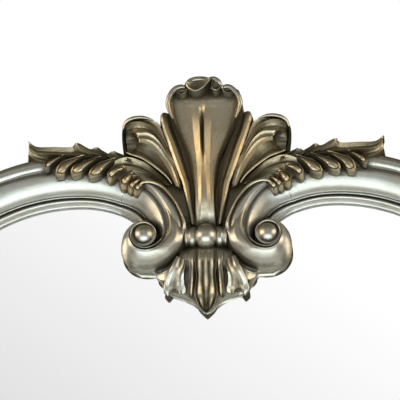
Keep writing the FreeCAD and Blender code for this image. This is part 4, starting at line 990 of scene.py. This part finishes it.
lobe_rims = (
    [(-187.7, 115, 42.5), (-201.7, 109.5, 43), (-208.1, 105.8, 44), (-211, 100.3, 45), (-210, 97, 45),
     (-205.8, 97.4, 45), (-199.4, 102, 43), (-189.2, 111.8, 43)],
    [(-161.1, 114.2, 42.5), (-179.6, 108.2, 43), (-190.4, 102.4, 44), (-194.9, 95.1, 45), (-195, 89.5, 45),
     (-190.6, 87.4, 45), (-185, 88.4, 45), (-181.1, 93.9, 45), (-176.5, 98.6, 43), (-162.1, 111.6, 43)],
    [(-138.5, 112.1, 42.5), (-157.8, 105.8, 43), (-170.5, 100, 44), (-175.4, 94, 45), (-174.5, 89, 45),
     (-170, 87.3, 45), (-161.8, 90.2, 45), (-155, 96.8, 43), (-140.8, 109.2, 43)],
    [(-119.3, 109.6, 42.5), (-136.1, 103.8, 43), (-146.9, 97, 44), (-151.8, 89.6, 45), (-150.5, 85, 45),
     (-145.1, 84.3, 45), (-137.4, 87.2, 45), (-130.7, 94.4, 43), (-120.2, 107.2, 43)],
)
rounded = [
    (0.0, 2.6, 0), (0.2, 2.5, 0), (0.4, 2.0, 0), (0.58, 1.1, 0), (0.74, -0.1, 0), (0.86, -1, 0),
    (0.93, 0.3, 0), (1.0, 1, 0), (1.06, 0.2, 0), (1.11, -2, -0.6), (1.15, -5, -1.8), (1.14, -9, -3.2),
    (1.06, -13, -4.6), (0.9, to_foot, -5),
]
flap_lines = (
    [[(-129, 109.5, 40), (-150, 118, 39.5), (-168, 127, 37)],
     [(-131, 112, 43), (-151, 121.5, 43), (-170.5, 132.5, 40)],
     [(-135, 115.5, 40), (-153, 123, 39), (-172.5, 133.5, 37)]],
    [[(-112, 106, 40), (-127, 112, 39), (-141, 121, 37)],
     [(-114, 108, 42), (-127.5, 115.5, 42), (-143.5, 126.5, 39)],
     [(-118, 112, 39), (-130, 117.5, 38), (-146, 127.5, 36)]],
    [[(-97, 103.5, 38), (-107, 109, 38), (-117, 116, 36)],
     [(-98, 106, 41), (-108.5, 112.5, 41), (-120, 121, 38)],
     [(-102, 110, 37), (-110, 115, 36), (-122.5, 121.5, 35)]],
)
for side, turned in both_sides:
    spray = carved_leaf(spray_lines, 12, scoop=1.4, across=6, along=120, rim=0.4)
    for lines in flap_lines:
        add_to(spray, carved_leaf(lines, 30, scoop=1.4, across=6, along=24, rim=0.4))
    for rim_line in lobe_rims:
        add_to(spray, turned_knob(rim_line, rounded, 28, 44))
    add_carving(f"leaf_spray_{side}", turned(spray))

# The fittings on the back
# Spring clips and cover plates of zinc-plated steel, their screws, the prop's brackets
# and pivot bolts, and rubber bumpers and feet.
metal_group, metal_in, metal_out = finish_group("plated_steel", [
    ("Bright", colour, (0.6, 0.6, 0.6, 1)), ("Dull", colour, (0.4, 0.4, 0.42, 1)), ("Scale", number, 300.0)])
metal_place = object_place(metal_group)
spangle = add_node(metal_group, "ShaderNodeTexVoronoi", {"Vector": metal_place, "Scale": metal_in["Scale"]})
spangle_share = spread(metal_group, spangle.outputs["Distance"], 0.0, 0.8)
rubbed = noise(metal_group, metal_place, 60.0, 5.0)
fill_inputs(metal_group, metal_out, {
    "Colour": mixed(metal_group, spangle_share, metal_in["Bright"], metal_in["Dull"]),
    "Roughness": spread(metal_group, rubbed, 0.3, 0.7, 0.25, 0.5),
    "Height": rubbed,
})
zinc = metal_finish("zinc_plate", metal_group, {
    "Bright": (0.62, 0.63, 0.64, 1), "Dull": (0.42, 0.43, 0.45, 1), "Scale": 260.0}, 0.2, 0.0003)
screw_metal = metal_finish("screw_plate", metal_group, {
    "Bright": (0.66, 0.6, 0.46, 1), "Dull": (0.45, 0.4, 0.3, 1), "Scale": 700.0}, 0.2, 0.0003)
finish_nodes(zinc, "glazing_clips", "joint_plates", "prop_bracket_left", "prop_bracket_right")
finish_nodes(
    screw_metal, "clip_screws", "plate_screws", "batten_screws", "bracket_screws", "pivot_bolts", "pivot_nuts")
rubber_black, rubber_tree, rubber_shader = principled("moulded_rubber")
scuff = noise(rubber_tree, object_place(rubber_tree), 180.0, 6.0)
fill_inputs(rubber_tree, rubber_shader, {
    "Base Color": mixed(rubber_tree, scuff, (0.018, 0.018, 0.02, 1), (0.06, 0.058, 0.055, 1)),
    "Roughness": spread(rubber_tree, scuff, 0.3, 0.7, 0.5, 0.8),
    "Normal": bumped(rubber_tree, scuff, 0.3, 0.0004),
})
finish_nodes(
    rubber_black, "wall_bumpers", "prop_tip_left", "prop_tip_right", "floor_foot_left", "floor_foot_right")


# The battens and the folding prop
# Planed and oiled hardwood: two battens screwed across the back, and a ladder of two
# legs and three rungs that turns on the bolts under the upper batten.
def planed_wood(name, grain_axis):
    """Oiled wood with the grain along one axis."""
    material, tree, shader = principled(name)
    stretch = [1.0, 1.0, 1.0]
    stretch[grain_axis] = 0.06
    drawn = add_node(tree, "ShaderNodeMapping", {"Vector": object_place(tree), "Scale": stretch}).outputs[0]
    rings = noise(tree, drawn, 130.0, 5.0, Distortion=0.8)
    pores = noise(tree, drawn, 900.0, 3.0)
    wood_tone = mixed(tree, spread(tree, rings, 0.35, 0.65), (0.2, 0.11, 0.05, 1), (0.36, 0.22, 0.11, 1))
    fill_inputs(tree, shader, {
        "Base Color": mixed(tree, spread(tree, pores, 0.52, 0.7, 0, 0.6), wood_tone, (0.1, 0.055, 0.025, 1)),
        "Roughness": spread(tree, rings, 0.3, 0.7, 0.42, 0.6),
        "Normal": bumped(tree, pores, 0.35, 0.0004),
    })
    return material


wood_across = planed_wood("oiled_wood_across", 0)
wood_upright = planed_wood("oiled_wood_upright", 2)
for wood, body, names in (
    (wood_across, "mirror_frame", ("lower_batten", "prop_batten")),
    (wood_upright, "prop", ("prop_leg_left", "prop_leg_right")),
    (wood_across, "prop", ("prop_rung_top", "prop_rung_middle", "prop_rung_bottom")),
):
    for name in names:
        finished_piece(f"planed_{name}", rounded_node(name, 1.2), name, wood, body)
finish_nodes(wood_across, "shoulder_dowels")

# Patina and painted shade
# Dark wax is rubbed over the leaf and wiped off, so it stays where a cloth doesn't reach.
# The same mask paints shade: darker on undersides, on faces turned away from the front, in
# broad dishes, and where a fixed fan of looks finds a point closed in by carving or glass.
# the mirror glass is counted too, so carving near it gets painted shade
corners, faces = [], []
for piece in gilded + [nodes["mirror_glass"]]:
    start = len(corners)
    corners += [corner.co.copy() for corner in piece.data.vertices]
    faces += [[start + k for k in face.vertices] for face in piece.data.polygons]
all_carving = BVHTree.FromPolygons(corners, faces)
without_glass = BVHTree.FromPolygons(corners, faces[:-len(nodes["mirror_glass"].data.polygons)])
# faces turned down, or turned away from the frame's front, get painted shade
under_from, under_within = 0.7, 0.14
wall_from, wall_within = 0.56, 0.3
look_reach = 0.03
dish_reach = 0.06
off_the_leaf = 0.0004
front = Vector((0, -math.cos(lean_back), math.sin(lean_back)))
polished = ("carved_centre_boss", "carved_scroll_eye_left", "carved_scroll_eye_right")


def fan_of_looks(rows):
    made = []
    for row, (slope, count) in enumerate(rows):
        for k in range(count):
            angle = math.tau * (k + 0.5 * row) / count
            made.append(Vector((
                math.cos(angle) * math.sin(slope), math.sin(angle) * math.sin(slope), math.cos(slope))))
    return made


near_looks = fan_of_looks(((0.35, 3), (0.75, 5), (1.15, 7)))
dish_looks = fan_of_looks(((1.36, 6),))
for piece in gilded:
    mesh = piece.data
    wax_and_shade = mesh.attributes.new("wax_and_painted_shade", "FLOAT", "POINT")
    carving = piece.name.startswith("carved")
    around = all_carving if carving else without_glass
    # how strongly each piece takes wax and painted shade
    shade_and_wax_weight = 0.4 if piece.name in polished else 1.3 if "pendant" in piece.name else 1.0
    dish_shade_and_wax, turned_away_shade_weight = (0.4, 0.5) if carving and piece.name not in polished else (0.0, 0.0)
    for corner in mesh.vertices:
        turn = corner.normal.to_track_quat("Z", "Y")
        start = corner.co + corner.normal * off_the_leaf
        total = 0.0
        for look in near_looks:
            hit = around.ray_cast(start, turn @ look, look_reach)
            if hit[0] is not None:
                total += 1 - hit[3] / look_reach
        walled_in = 0
        if dish_shade_and_wax:
            walled_in = sum(
                all_carving.ray_cast(start, turn @ look, dish_reach)[0] is not None for look in dish_looks)
        dish = max(0.0, walled_in / len(dish_looks) - 0.5) * 2
        # painted shade on undersides and on faces turned away from the front
        underside = min(1.0, max(0.0, (-corner.normal.z - under_from) / under_within))
        wall = min(1.0, max(0.0, (wall_from - corner.normal.dot(front)) / wall_within))
        wax_and_shade.data[corner.index].value = min(
            1.0, shade_and_wax_weight * (1.4 * total / len(near_looks) + dish_shade_and_wax * dish + turned_away_shade_weight * (wall + underside)))


# The floor, the backdrop and the lights
# A plain pale studio: a low soft light in front, a warm one at each side, and a room
# that is pale where the mirror looks.
def stage_paint(name, shade):
    material, tree, shader = principled(name)
    wash = noise(tree, object_place(tree), 2.0)
    worn = shade * 0.98
    fill_inputs(tree, shader, {
        "Base Color": mixed(tree, wash, (shade, shade, shade, 1), (worn, worn, worn, 1)), "Roughness": 0.8})
    return material


def add_stage(name, bm, material):
    piece = new_piece(name, bm, material)
    return piece


floor_drop = 0.0005
floor = bmesh.new()
bmesh.ops.create_grid(floor, x_segments=1, y_segments=1, size=6)
bmesh.ops.translate(floor, vec=(0, 0, -floor_drop), verts=floor.verts)
add_stage("studio_floor", floor, stage_paint("floor_paint", 0.8))

world = bpy.data.worlds.new("studio")
bpy.context.scene.world = world
world.use_nodes = True
sky = world.node_tree
sky.nodes.clear()
sky_place = add_node(sky, "ShaderNodeTexCoord").outputs["Generated"]
rise = add_node(sky, "ShaderNodeSeparateXYZ", {0: sky_place}).outputs["Z"]
ramp = add_node(sky, "ShaderNodeValToRGB", {"Fac": spread(sky, rise, -1.0, 1.0)})
stops = ramp.color_ramp
room_tones = (
    (0.0, (0.3, 0.3, 0.29)), (0.3, (0.5, 0.5, 0.5)), (0.4, (0.42, 0.41, 0.38)), (0.5, (0.32, 0.3, 0.25)),
    (0.6, (0.28, 0.265, 0.22)), (0.78, (0.28, 0.265, 0.22)), (0.87, (0.2, 0.185, 0.15)),
    (1.0, (0.14, 0.13, 0.1)),
)
stops.elements[0].position, stops.elements[1].position = room_tones[0][0], room_tones[-1][0]
stops.elements[0].color = (*room_tones[0][1], 1)
stops.elements[1].color = (*room_tones[-1][1], 1)
for position, tone in room_tones[1:-1]:
    stops.elements.new(position).color = (*tone, 1)
card_direction, card_shading = (-0.07, -0.9, 0.43), (1.85, 0, 3.0)
toward_card = add_node(sky, "ShaderNodeVectorMath", {0: sky_place, 1: card_direction}, operation="DOT_PRODUCT")
card_share = spread(sky, toward_card.outputs["Value"], 0.984, 0.995)
card_slope = add_node(sky, "ShaderNodeVectorMath", {0: sky_place, 1: card_shading}, operation="DOT_PRODUCT")
card_tone = spread(sky, card_slope.outputs["Value"], 0.9, 1.27, 0.71, 1.08)
behind = add_node(sky, "ShaderNodeSeparateXYZ", {0: sky_place}).outputs["Y"]
behind_share = spread(sky, behind, -0.15, 0.35, 0.0, 0.75)
dim_room = mixed(sky, behind_share, ramp.outputs["Color"], (0.05, 0.045, 0.04, 1))
lit_room = mixed(sky, card_share, dim_room, card_tone)
seen = add_node(sky, "ShaderNodeLightPath").outputs["Is Camera Ray"]
sky_tone = mixed(sky, seen, lit_room, (1, 1, 1, 1))
background = add_node(sky, "ShaderNodeBackground", {"Color": sky_tone, "Strength": 1.0})
sky_out = add_node(sky, "ShaderNodeOutputWorld")
sky.links.new(background.outputs[0], sky_out.inputs["Surface"])


def soft_light(name, place, target, size, power, tone):
    data = bpy.data.lights.new(name, "AREA")
    data.shape = "RECTANGLE"
    data.size, data.size_y = size
    data.energy = power
    data.color = tone
    lamp = bpy.data.objects.new(name, data)
    away = Vector(place) - Vector(target)
    lamp.matrix_world = Matrix.Translation(place) @ away.to_track_quat("Z", "Y").to_matrix().to_4x4()
    bpy.context.scene.collection.objects.link(lamp)
    return lamp


crest = (0, 0, 1.6)
soft_light("low_front_light", (0, -1.26, 0.26), crest, (2.4, 1.7), 30, (0.86, 0.98, 1.0))
soft_light("warm_left_light", (-2.1, -1.1, 1.9), crest, (1.8, 1.3), 21, (1.0, 0.83, 0.6))
soft_light("warm_right_light", (2.15, -1.05, 1.95), crest, (1.8, 1.3), 19, (1.0, 0.84, 0.62))
back_light = soft_light("back_light", (0.8, 3.0, 2.4), (0, 0, 0.9), (2.0, 2.0), 55, (1.0, 0.98, 0.95))
back_light.visible_glossy = False

# a dark screen behind the mirror, seen only in reflections, keeps the undersides dark
screen = bmesh.new()
bmesh.ops.create_grid(screen, x_segments=1, y_segments=1, size=1.2)
bmesh.ops.rotate(screen, matrix=Matrix.Rotation(math.radians(90), 3, "X"), verts=screen.verts)
bmesh.ops.translate(screen, vec=(0, 0.55, 0.9), verts=screen.verts)
dark_screen = add_stage("dark_screen", screen, stage_paint("screen_cloth", 0.03))
dark_screen.visible_camera = False
dark_screen.visible_diffuse = False
dark_screen.visible_shadow = False
dark_screen.visible_transmission = False

view = bpy.context.scene.view_settings
view.view_transform = "Standard"
